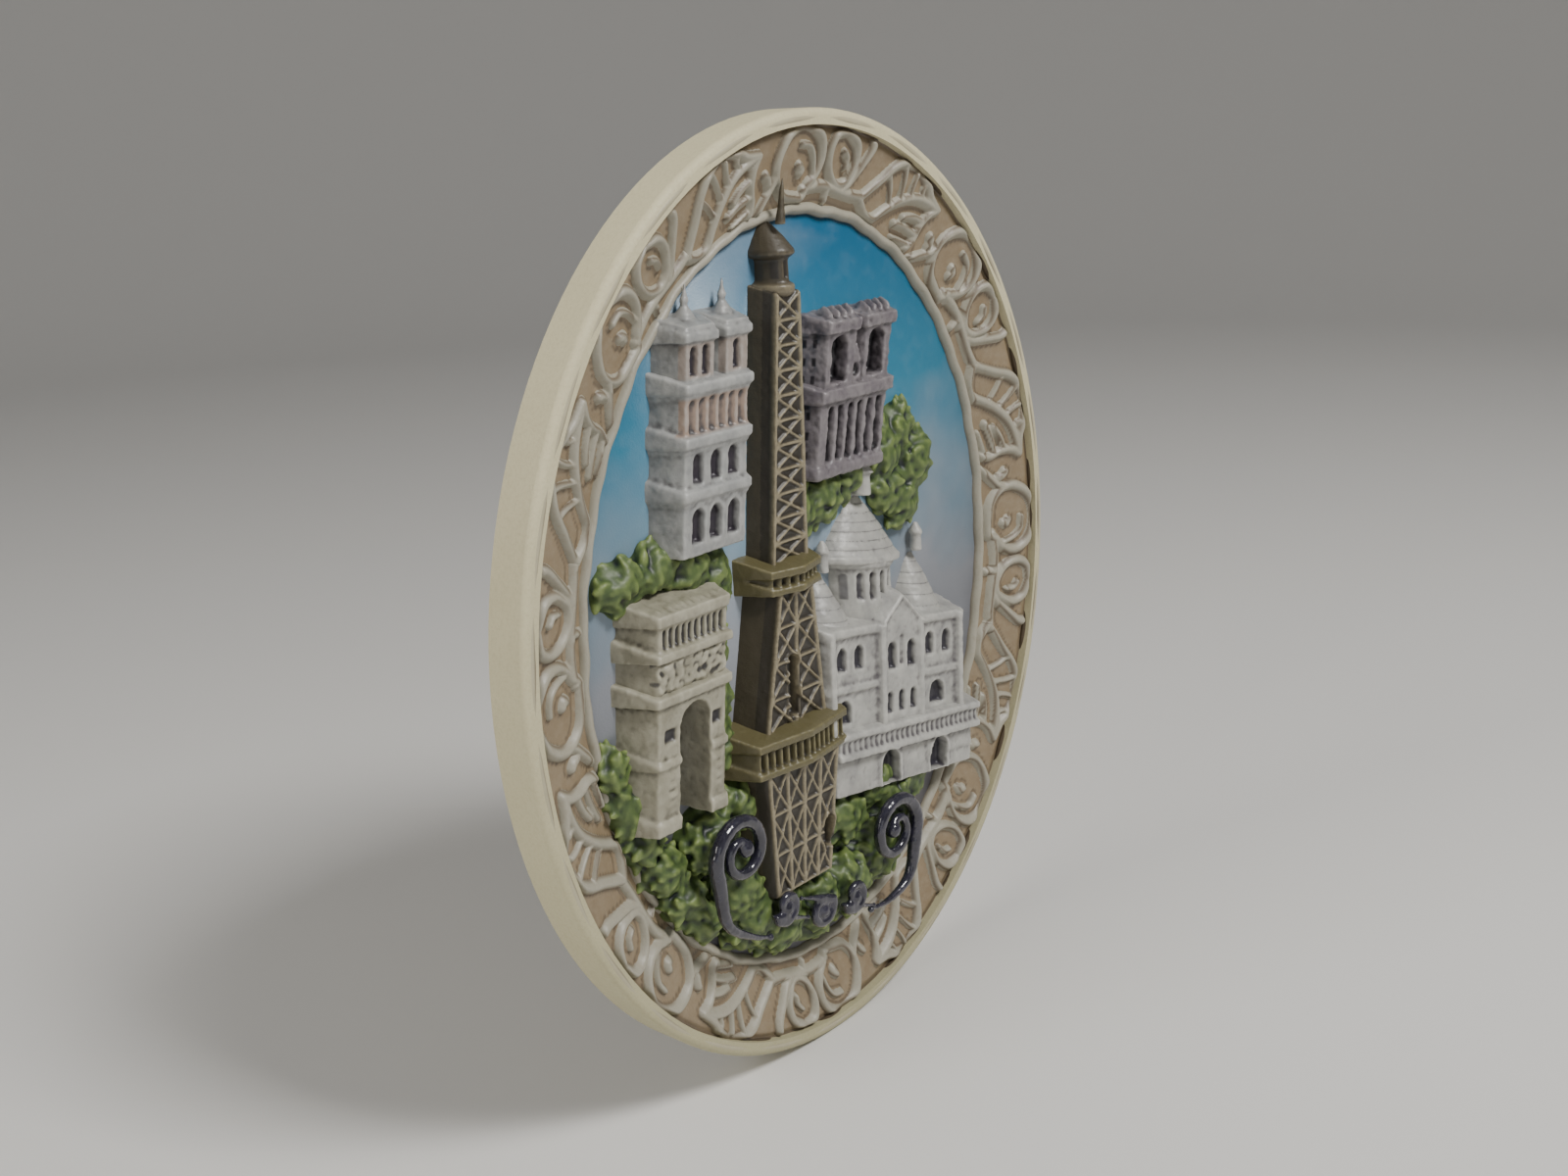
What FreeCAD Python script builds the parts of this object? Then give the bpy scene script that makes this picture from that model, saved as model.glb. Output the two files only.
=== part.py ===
"""Oval relief souvenir plate: a cast resin dish with a scrollwork border, a painted sky oval and a
townscape of separately cast landmarks bonded to it, held to a steel surface by two disc magnets.

Row frame in millimetres: the origin is the middle of the flat back, +Z is up the long axis of the
oval and the plate faces -Y. A height is measured forward from the back, so y = -height.
"""
import FreeCAD, Part
import math
import os

# ---- driving dimensions -------------------------------------------------------------------------
HALF_WIDTH, HALF_HEIGHT = 42.5, 50.0      # outer oval
RIM = 5.6                                 # height of the rim lip above the back
LIP = 1.6                                 # width of the rim lip
SKY_HALF_WIDTH, SKY_HALF_HEIGHT = 32.2, 38.7
BEAD = 1.3                                # width of the bead round the sky oval
SKY = 1.8                                 # height of the painted sky surface
SKY_THICK = 0.4
BEAD_TOP = 3.1
BORDER_OUTER, BORDER_INNER = 4.8, 2.4     # heights of the sloping border ground at its two edges
BORDER_THICK = 0.5
SCROLL_RISE = 0.8                         # how far the scrollwork stands off the border ground
SCROLL_UNITS = 8
FIRST_LEAF_DEG = 62.0                     # oval angle of the first leaf
MAGNET_R, MAGNET_THICK = 7.0, 0.7
GLUE_THICK = 0.1
MAGNET_Z = 24.0                           # each magnet's distance above or below the middle
LIP_ROUND = 0.7                           # rounding of the lip's outer edge
BACK_CHAMFER = 0.9                        # bevel round the back's outer edge

# Front heights of the castings that stand on the sky oval.
H_ARCH = 6.4
H_CHURCH = 5.7
H_CATHEDRAL = 5.2
H_BASILICA = 6.0
H_TOWER_TOP = 5.0
H_TOWER_MID = 5.8
H_TOWER_LOW = 6.7
H_BUSH = 4.4
H_BANK = 6.8
H_ORNAMENT = 8.2
CORNICE = 0.5                             # how far a cornice or deck stands proud of its wall


# ---- shape helpers ------------------------------------------------------------------------------
def point(x, z, height=0.0):
    return FreeCAD.Vector(x, -height, z)


def oval_wire(half_width, half_height, height):
    """A closed ellipse parallel to the back; its long half-axis runs along Z."""
    centre = point(0, 0, height)
    curve = Part.Ellipse(point(0, half_height, height), point(half_width, 0, height), centre)
    return Part.Wire(curve.toShape())


def oval_slab(half_width, half_height, low, high):
    face = Part.Face(oval_wire(half_width, half_height, low))
    return face.extrude(FreeCAD.Vector(0, low - high, 0))


# A stance (x0, z0, lean, fall) says how a building stands: away from (x0, z0) its uprights move
# right by lean for each mm up, and its level lines drop by fall for each mm to the right.
UPRIGHT = (0.0, 0.0, 0.0, 0.0)


def stood(x, z, stance):
    x0, z0, lean, fall = stance
    return x + lean * (z - z0), z - fall * (x - x0)


def slab(outline, low, high, stance=UPRIGHT):
    """A flat-sided block from an outline of (x, z) points, between two heights."""
    corners = [point(*stood(x, z, stance), low) for x, z in outline]
    face = Part.Face(Part.makePolygon(corners + corners[:1]))
    return face.extrude(FreeCAD.Vector(0, low - high, 0))


def block(x0, x1, z0, z1, low, high, stance=UPRIGHT):
    return slab([(x0, z0), (x1, z0), (x1, z1), (x0, z1)], low, high, stance)


def disc(x, z, radius, low, high):
    return Part.makeCylinder(radius, high - low, point(x, z, low), FreeCAD.Vector(0, -1, 0))


def arched_hole(x, z_foot, width, height, low, high, stance=UPRIGHT):
    """The space of a round-headed window or doorway; it stays upright in a leaning wall."""
    radius = width / 2
    x, z_foot = stood(x, z_foot, stance)
    straight = block(x - radius, x + radius, z_foot, z_foot + height - radius, low, high)
    return straight.fuse(disc(x, z_foot + height - radius, radius, low, high))


def joined(shapes):
    made = shapes[0]
    for other in shapes[1:]:
        made = made.fuse(other)
    return made.removeSplitter()


def without(shape, *others):
    made = shape
    for other in others:
        made = made.cut(other)
    return made


def largest(shape):
    """The main solid, without the slivers that cutting can leave beside it."""
    return max(shape.Solids, key=lambda solid: solid.Volume)


# ---- the dish -----------------------------------------------------------------------------------
def above_border(offset):
    """All the space in front of the border's slope, moved forward by offset."""
    outer = (HALF_WIDTH - LIP, HALF_HEIGHT - LIP)
    inner = (SKY_HALF_WIDTH + BEAD, SKY_HALF_HEIGHT + BEAD)
    cone = Part.makeLoft([oval_wire(*inner, BORDER_INNER + offset),
                          oval_wire(*outer, BORDER_OUTER + offset)], True, True)
    return cone.fuse(oval_slab(*outer, BORDER_OUTER + offset, RIM + SCROLL_RISE + 1))


def well(low, high):
    return oval_slab(SKY_HALF_WIDTH + BEAD, SKY_HALF_HEIGHT + BEAD, low, high)


def oval_body():
    solid = oval_slab(HALF_WIDTH, HALF_HEIGHT, 0, RIM)
    lip_edge = [e for e in solid.Edges if abs(e.CenterOfMass.y + RIM) < 1e-3]
    solid = solid.makeFillet(LIP_ROUND, lip_edge)
    back_edge = [e for e in solid.Edges if abs(e.CenterOfMass.y) < 1e-3]
    solid = solid.makeChamfer(BACK_CHAMFER, back_edge)
    solid = without(solid, above_border(-BORDER_THICK), well(SKY - SKY_THICK, RIM))
    depth = MAGNET_THICK + GLUE_THICK
    for z in (-MAGNET_Z, MAGNET_Z):
        solid = solid.cut(disc(0, z, MAGNET_R + 0.1, 0, depth))
    return solid


def border_ring():
    return without(above_border(-BORDER_THICK), above_border(0), well(0, RIM + 2))


def sky_bead():
    ring = well(SKY - SKY_THICK, BEAD_TOP).cut(
        oval_slab(SKY_HALF_WIDTH, SKY_HALF_HEIGHT, 0, RIM))
    front = [e for e in ring.Edges if abs(e.CenterOfMass.y + BEAD_TOP) < 1e-3]
    return ring.makeFillet(0.45, front)


def sky_panel():
    return oval_slab(SKY_HALF_WIDTH, SKY_HALF_HEIGHT, SKY - SKY_THICK, SKY)


# ---- the border's scrollwork --------------------------------------------------------------------
def border_point(degrees, across):
    """(x, z) on the border; across runs from 0 at the rim lip to 1 at the bead."""
    half_x = HALF_WIDTH - LIP + (SKY_HALF_WIDTH + BEAD - HALF_WIDTH + LIP) * across
    half_z = HALF_HEIGHT - LIP + (SKY_HALF_HEIGHT + BEAD - HALF_HEIGHT + LIP) * across
    angle = math.radians(degrees)
    return half_x * math.cos(angle), half_z * math.sin(angle)


def border_patch(outline, middle):
    """A block over the border from (degrees, across) points counted from middle."""
    return slab([border_point(middle - d, a) for d, a in outline], 1.0, RIM + 2)


def border_loop(middle, half_degrees, low, high, band):
    """An open loop: a closed ring of the border's own proportions, band wide."""
    def ring_outline(shrink):
        steps = 16
        return [((half_degrees - shrink) * math.cos(2 * math.pi * k / steps),
                 (low + high) / 2 + ((high - low) / 2 - shrink * 0.08)
                 * math.sin(2 * math.pi * k / steps)) for k in range(steps)]
    return border_patch(ring_outline(0), middle).cut(border_patch(ring_outline(band), middle))


def scroll_unit(number):
    """One leaf, one large loop and one small loop, joined by a stem along the bead."""
    leaf_at = FIRST_LEAF_DEG - number * 360.0 / SCROLL_UNITS
    leaf = border_patch([(-11, 0.82), (-8, 0.50), (-3, 0.12), (3, 0.20), (7, 0.30),
                         (5.5, 0.60), (4, 0.86), (1, 0.55), (-4, 0.62), (-6, 0.84)], leaf_at)
    large = border_loop(leaf_at - 17.5, 5.8, 0.12, 0.82, 1.3)
    small = border_loop(leaf_at - 27.5, 4.6, 0.14, 0.74, 1.2)
    stem = border_patch([(d, 0.70) for d in range(3, 34, 5)]
                        + [(d, 0.86) for d in range(33, 2, -5)], leaf_at)
    layer = above_border(0).cut(above_border(SCROLL_RISE))
    return joined([leaf, large, small, stem]).common(layer)


# ---- triumphal arch, lower left -----------------------------------------------------------------
ARCH = (-23.0, -16.2, 0.09, 0.0)
ARCH_LEFT, ARCH_RIGHT, ARCH_FOOT = -28.3, -18.9, -16.2


def arch_course(z0, z1, proud=0.0):
    """One level course of the arch; proud is how far it stands out all round."""
    return block(ARCH_LEFT - proud, ARCH_RIGHT + proud, z0, z1, SKY, H_ARCH + proud, ARCH)


def arch_piers():
    wall = arch_course(ARCH_FOOT, -2.6).fuse(arch_course(-3.5, -2.6, CORNICE))
    return wall.cut(arched_hole(-23.2, ARCH_FOOT, 4.0, 11.9, SKY, RIM + 3, ARCH))


def arch_frieze():
    return arch_course(-2.6, 0.8)


def arch_attic():
    return arch_course(0.8, 4.6).fuse(arch_course(0.8, 1.6, CORNICE)).fuse(
        arch_course(4.2, 5.2, CORNICE / 2))


# ---- twin-towered church, upper left ------------------------------------------------------------
CHURCH = (-17.4, 10.5, 0.10, 0.0)
CHURCH_LEFT, CHURCH_RIGHT, CHURCH_FOOT = -21.8, -13.0, 10.5
CHURCH_STOREYS = (15.0, 20.0, 25.0)       # where each cornice starts


def church_body():
    wall = block(CHURCH_LEFT, CHURCH_RIGHT, CHURCH_FOOT, 26.0, SKY, H_CHURCH, CHURCH)
    for z in CHURCH_STOREYS:
        wall = wall.fuse(block(CHURCH_LEFT - 0.3, CHURCH_RIGHT + 0.3, z, z + 1.0, SKY,
                               H_CHURCH + CORNICE, CHURCH))
    for k in (-1, 0, 1):
        for foot in (11.2, 16.3):
            wall = wall.cut(arched_hole(-17.4 + 2.6 * k, foot, 1.3, 2.9, H_CHURCH - 1.2, RIM + 2,
                                        CHURCH))
    return wall.removeSplitter()


def church_tower(x0, x1):
    middle = (x0 + x1) / 2
    return joined([block(x0, x1, 26.0, 29.9, SKY, H_CHURCH, CHURCH),
                   block(x0 - 0.3, x1 + 0.3, 29.9, 31.0, SKY, H_CHURCH + CORNICE / 2, CHURCH),
                   slab([(middle - 0.8, 31.0), (middle + 0.8, 31.0), (middle, 34.4)],
                        SKY, H_CHURCH - 1.6, CHURCH)])


# ---- gothic cathedral, upper right --------------------------------------------------------------
CATHEDRAL = (4.5, 13.6, 0.18, 0.0)
CATHEDRAL_LEFT, CATHEDRAL_RIGHT, CATHEDRAL_FOOT, CATHEDRAL_LEDGE = -1.0, 10.0, 13.6, 20.8


def cathedral_nave():
    wall = joined([block(CATHEDRAL_LEFT, CATHEDRAL_RIGHT, CATHEDRAL_FOOT, CATHEDRAL_LEDGE, SKY,
                         H_CATHEDRAL, CATHEDRAL),
                   block(CATHEDRAL_LEFT - 0.4, CATHEDRAL_RIGHT + 0.6, CATHEDRAL_LEDGE, 22.2, SKY,
                         H_CATHEDRAL + CORNICE, CATHEDRAL)])
    for k in range(5):
        wall = wall.cut(block(0.4 + 1.9 * k, 1.3 + 1.9 * k, 14.8, 20.2, H_CATHEDRAL - 1.0, RIM + 2,
                              CATHEDRAL))
    return wall


def cathedral_tower(x0, x1):
    wall = joined([block(x0, x1, 22.2, 28.4, SKY, H_CATHEDRAL, CATHEDRAL),
                   block(x0 - 0.3, x1 + 0.3, 28.0, 30.2, SKY, H_CATHEDRAL + CORNICE / 2,
                         CATHEDRAL)])
    return wall.cut(arched_hole((x0 + x1) / 2, 22.8, 2.2, 4.4, H_CATHEDRAL - 1.6, RIM + 2,
                                CATHEDRAL))


# ---- domed basilica, right ----------------------------------------------------------------------
BASILICA = (0.0, 0.0, 0.0, 0.15)
BASILICA_LEFT, BASILICA_RIGHT = -1.5, 23.3
BASILICA_EAVES, BASILICA_TERRACE = -3.4, -15.0
GABLE_LEFT, GABLE_RIGHT, GABLE_TOP = 7.6, 15.4, -0.3


def dome(x, foot, half, rise, lantern, high):
    """A pointed, bell-shaped dome with a lantern: its sides are sampled from one curve."""
    side = [(half * (1.0 - t) ** 0.8, rise * t) for t in (0.0, 0.2, 0.4, 0.6, 0.8, 0.93)]
    tip = [(0.10 * half + 0.25, rise * 1.02), (0.12 * half, rise + lantern)]
    right = [(x + w, foot + h) for w, h in side + tip]
    left = [(x - w, foot + h) for w, h in reversed(side + tip)]
    return slab(right + left, SKY, high, BASILICA)


def basilica_gable(high):
    middle = (GABLE_LEFT + GABLE_RIGHT) / 2
    return slab([(GABLE_LEFT, BASILICA_TERRACE), (GABLE_RIGHT, BASILICA_TERRACE),
                 (GABLE_RIGHT, BASILICA_EAVES), (middle, GABLE_TOP), (GABLE_LEFT, BASILICA_EAVES)],
                SKY, high, BASILICA)


def basilica_walls():
    wall = joined([block(BASILICA_LEFT, BASILICA_RIGHT, BASILICA_TERRACE, BASILICA_EAVES, SKY,
                         H_BASILICA, BASILICA),
                   block(BASILICA_LEFT - 0.3, BASILICA_RIGHT + 0.3, -10.4, -9.6, SKY,
                         H_BASILICA + CORNICE / 2, BASILICA),
                   basilica_gable(H_BASILICA + CORNICE)])
    for x in (1.0, 4.0, 9.6, 13.2, 17.2, 20.6):
        wall = wall.cut(arched_hole(x, -7.6, 1.4, 2.6, H_BASILICA - 1.0, RIM + 3, BASILICA))
    for x, wide in ((1.3, 2.2), (8.8, 1.0), (11.4, 1.0), (14.0, 1.0), (18.4, 2.4)):
        wall = wall.cut(arched_hole(x, -13.6, wide, 2.6, H_BASILICA - 1.0, RIM + 3, BASILICA))
    return wall


def basilica_terrace():
    ledge = block(-0.6, 26.0, -17.8, BASILICA_TERRACE, SKY, H_BASILICA + 2 * CORNICE, BASILICA)
    wall = slab([(-0.4, -22.0), (10.0, -22.5), (18.5, -22.5), (25.4, -19.6), (25.4, -17.8),
                 (-0.4, -17.8)], SKY, H_BASILICA, BASILICA)
    for x in (9.3, 18.5):
        wall = wall.cut(arched_hole(x, -21.6, 2.8, 3.0, H_BASILICA - 1.2, RIM + 3, BASILICA))
    return ledge.fuse(wall)


def basilica_drum():
    drum = block(4.0, 13.6, BASILICA_EAVES, 4.0, SKY, H_BASILICA - 0.6, BASILICA)
    return drum.cut(basilica_gable(RIM + 3))


# ---- lattice tower, centre left -----------------------------------------------------------------
TOWER_HALF_WIDTHS = ((-29.0, 4.6), (-15.4, 6.0), (-11.8, 5.0), (3.0, 2.6), (5.4, 2.8), (33.0, 1.8))
TOWER_FOOT_X, TOWER_TOP_X = -7.4, -4.4    # middle of the tower at its foot and at its cabin


def tower_middle(z):
    foot, top = TOWER_HALF_WIDTHS[0][0], TOWER_HALF_WIDTHS[-1][0]
    return TOWER_FOOT_X + (TOWER_TOP_X - TOWER_FOOT_X) * (z - foot) / (top - foot)


def tower_stage(lower, upper, height):
    """The part of the tower between two rows of its half-width table."""
    (z0, half0), (z1, half1) = TOWER_HALF_WIDTHS[lower], TOWER_HALF_WIDTHS[upper]
    m0, m1 = tower_middle(z0), tower_middle(z1)
    return slab([(m0 - half0, z0), (m0 + half0, z0), (m1 + half1, z1), (m1 - half1, z1)],
                SKY, height)


def tower_deck(z0, z1, half, height):
    """A gallery round the tower; its front comes to a shallow ridge over the tower's corner."""
    middle = tower_middle(z0)
    plan = [(middle - half, SKY), (middle + half, SKY), (middle + half, height - 0.4),
            (middle, height + 2 * CORNICE), (middle - half, height - 0.4)]
    corners = [point(x, z0, up) for x, up in plan]
    face = Part.Face(Part.makePolygon(corners + corners[:1]))
    return face.extrude(FreeCAD.Vector(0, 0, z1 - z0))


def tower_base():
    stage = tower_stage(0, 1, H_TOWER_LOW)
    return stage.cut(arched_hole(-3.6, -26.0, 1.8, 3.6, H_TOWER_LOW - 1.4, RIM + 4))


def tower_cabin():
    x, foot = TOWER_TOP_X, TOWER_HALF_WIDTHS[-1][0]
    return joined([block(x - 2.5, x + 2.5, foot - 0.5, foot + 0.5, SKY, H_TOWER_TOP + CORNICE),
                   block(x - 1.9, x + 1.9, foot, 36.2, SKY, H_TOWER_TOP),
                   slab([(x - 2.6, 36.2), (x + 2.6, 36.2), (x + 1.8, 38.2), (x + 0.6, 39.6),
                         (x - 0.6, 39.6), (x - 1.8, 38.2)], SKY, H_TOWER_TOP + CORNICE / 2)])


def tower_spire():
    x = TOWER_TOP_X + 0.3
    return slab([(x - 0.6, 39.6), (x + 0.6, 39.6), (x + 0.7, 43.6), (x + 0.3, 43.6)], SKY,
                H_TOWER_TOP + 0.3)


# ---- foliage ------------------------------------------------------------------------------------
def foliage(outline, height):
    return slab(outline, SKY, height)


UPPER_LEFT_LEAVES = [(-31.0, 4.5), (-16.8, 4.5), (-17.6, -13.0), (-13.0, -13.0), (-10.5, 10.5),
                     (-22.5, 12.0), (-29.5, 10.5)]
MIDDLE_LEAVES = [(-3.4, 5.0), (5.6, 6.2), (9.8, 13.8), (-1.6, 13.8), (-3.4, 12.0)]
RIGHT_LEAVES = [(11.0, 6.0), (17.5, 3.6), (21.4, 8.0), (21.8, 14.0), (16.5, 18.6), (11.8, 17.6),
                (9.8, 12.0)]
LOWER_LEFT_LEAVES = [(-32.4, -8.6), (-28.9, -6.0), (-28.9, -16.8), (-20.0, -18.0),
                     (-19.6, -30.6), (-25.0, -26.5), (-29.8, -19.0)]
BANK = [(-23.4, -16.6), (-13.4, -15.4), (-12.4, -22.0), (-0.6, -22.0), (3.6, -22.6), (14.6, -25.4),
        (15.0, -27.5), (12.0, -34.8), (4.0, -37.2), (-6.0, -37.4), (-14.0, -34.8),
        (-19.6, -30.6), (-23.4, -26.8)]


# ---- scroll ornament, bottom --------------------------------------------------------------------
ORNAMENT_CURLS = [(-18.0, -21.4, 4.8), (-11.4, -30.0, 2.5), (-5.6, -32.8, 2.5), (0.2, -33.4, 2.5),
                  (8.0, -28.6, 5.0)]      # middle and outer radius of each curl
ORNAMENT_BAND = 1.3


def ornament_curl(x, z, radius):
    return disc(x, z, radius, H_BANK, H_ORNAMENT).cut(
        disc(x, z, radius - ORNAMENT_BAND, H_BANK, H_ORNAMENT))


# ---- magnets ------------------------------------------------------------------------------------
def magnet(z):
    return disc(0, z, MAGNET_R, 0, MAGNET_THICK)


def glue(z):
    return disc(0, z, MAGNET_R, MAGNET_THICK, MAGNET_THICK + GLUE_THICK)


# ---- assembly -----------------------------------------------------------------------------------
def build():
    """Name to solid for every piece; whatever would share space is cut back to meet its neighbour."""
    parts = {"oval_body": oval_body(), "border_ring": border_ring(), "sky_bead": sky_bead(),
             "sky_panel": sky_panel()}
    ground = [parts["oval_body"], parts["border_ring"], parts["sky_bead"]]
    for number in range(SCROLL_UNITS):
        parts[f"border_scroll_{number + 1}"] = scroll_unit(number)
    top_scroll = parts[f"border_scroll_{SCROLL_UNITS}"]

    tower = {"tower_base": tower_base(),
             "tower_first_deck": tower_deck(-15.4, -11.8, 6.8, H_TOWER_LOW),
             "tower_lower_shaft": tower_stage(2, 3, H_TOWER_MID),
             "tower_second_deck": tower_deck(3.0, 5.4, 3.6, H_TOWER_MID),
             "tower_upper_shaft": tower_stage(4, 5, H_TOWER_TOP),
             "tower_cabin": tower_cabin(),
             "tower_spire": without(tower_spire(), *ground, top_scroll)}
    tower["tower_upper_shaft"] = tower["tower_upper_shaft"].cut(tower["tower_cabin"])
    buildings = {"arch_piers": arch_piers(), "arch_frieze": arch_frieze(),
                 "arch_attic": arch_attic(),
                 "church_body": church_body(),
                 "church_tower_left": church_tower(CHURCH_LEFT, CHURCH_LEFT + 3.8),
                 "church_tower_right": church_tower(CHURCH_RIGHT - 3.0, CHURCH_RIGHT),
                 "cathedral_nave": cathedral_nave(),
                 "cathedral_tower_left": cathedral_tower(CATHEDRAL_LEFT + 0.4, 3.8),
                 "cathedral_tower_right": cathedral_tower(5.4, CATHEDRAL_RIGHT),
                 "basilica_walls": basilica_walls(), "basilica_terrace": basilica_terrace(),
                 "basilica_drum": basilica_drum(),
                 "basilica_main_dome": dome(8.7, 4.0, 6.8, 7.2, 3.4, H_BASILICA - 0.4),
                 "basilica_left_dome": dome(1.8, BASILICA_EAVES, 4.0, 6.4, 2.8, H_BASILICA),
                 "basilica_right_dome": dome(18.8, BASILICA_EAVES, 4.2, 7.6, 2.6, H_BASILICA)}
    leaves = {"foliage_bank": foliage(BANK, H_BANK),
              "foliage_upper_left": foliage(UPPER_LEFT_LEAVES, H_BUSH),
              "foliage_middle": foliage(MIDDLE_LEAVES, H_BUSH),
              "foliage_right": foliage(RIGHT_LEAVES, H_BUSH),
              "foliage_lower_left": foliage(LOWER_LEFT_LEAVES, H_BUSH + 0.8)}
    taken = []
    for name, shape in {**tower, **buildings, **leaves}.items():
        near = [other for other in taken if other.BoundBox.intersect(shape.BoundBox)]
        parts[name] = largest(without(shape, *ground, *near))
        taken.append(parts[name])
    for number, curl in enumerate(ORNAMENT_CURLS, 1):
        parts[f"ornament_curl_{number}"] = ornament_curl(*curl)
    for place, z in (("upper", MAGNET_Z), ("lower", -MAGNET_Z)):
        parts[f"magnet_{place}"] = magnet(z)
        parts[f"glue_{place}"] = glue(z)
    return parts


os.makedirs("parts", exist_ok=True)
for node, shape in build().items():
    print(f"{node}: {len(shape.Solids)} solid, {shape.Volume:.1f} mm3, valid {shape.isValid()}")
    largest(shape).exportStep(f"parts/{node}.step")
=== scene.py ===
"""Souvenir plate: an oval cast dish with a scrollwork border round a painted townscape in relief.

Lengths in each section are in millimetres in the plate's own terms: x to the right, z up, and a
height h forward from the flat back, so a point lies at (x, -h, z). They become metres in the mesh.
"""
import bpy
import bmesh
import math
import numpy as np
import random
from mathutils import Matrix, Vector, noise


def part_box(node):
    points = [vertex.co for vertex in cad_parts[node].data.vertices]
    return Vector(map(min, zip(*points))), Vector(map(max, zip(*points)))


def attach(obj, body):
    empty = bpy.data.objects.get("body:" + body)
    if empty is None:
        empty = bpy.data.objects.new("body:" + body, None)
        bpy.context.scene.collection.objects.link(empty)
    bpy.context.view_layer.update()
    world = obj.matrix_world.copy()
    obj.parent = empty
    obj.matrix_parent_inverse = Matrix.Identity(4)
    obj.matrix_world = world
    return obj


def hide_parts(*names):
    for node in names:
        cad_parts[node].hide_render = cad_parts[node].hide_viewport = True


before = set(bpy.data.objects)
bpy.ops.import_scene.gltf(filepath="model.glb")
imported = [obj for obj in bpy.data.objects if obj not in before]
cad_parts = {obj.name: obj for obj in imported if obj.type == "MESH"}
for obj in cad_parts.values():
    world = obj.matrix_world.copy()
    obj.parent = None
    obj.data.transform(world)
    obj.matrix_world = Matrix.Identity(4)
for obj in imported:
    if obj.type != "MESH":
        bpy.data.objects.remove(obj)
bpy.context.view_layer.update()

# ---- Camera -------------------------------------------------------------------------------------
# The plate stands upright and is seen from its front left and a little above, with the camera
# tipped slightly, about 175 mm away.
MM = 0.001
CAMERA_AT = (-131.1, -110.4, 49.8)
CAMERA_TURN, CAMERA_DOWN, CAMERA_TIP = 49.7, 16.0, -2.4

lens = bpy.data.cameras.new("camera")
lens.lens = 38.2
lens.clip_start = 0.005
camera = bpy.data.objects.new("camera", lens)
bpy.context.collection.objects.link(camera)
camera.matrix_world = (Matrix.Translation(Vector(CAMERA_AT) * MM)
                       @ Matrix.Rotation(math.radians(-CAMERA_TURN), 4, "Z")
                       @ Matrix.Rotation(math.radians(90 - CAMERA_DOWN), 4, "X")
                       @ Matrix.Rotation(math.radians(CAMERA_TIP), 4, "Z"))
bpy.context.scene.camera = camera


# ---- Dish body ----------------------------------------------------------------------------------
# The oval dish that everything stands on: cast resin with a flat back, a plain side band and a
# rounded lip, sprayed a matt, faintly speckled cream.
def span(node):
    """(left, right, bottom, top, back, front) of a CAD node in millimetres."""
    low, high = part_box(node)
    return (low.x / MM, high.x / MM, low.z / MM, high.z / MM, -high.y / MM, -low.y / MM)


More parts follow.
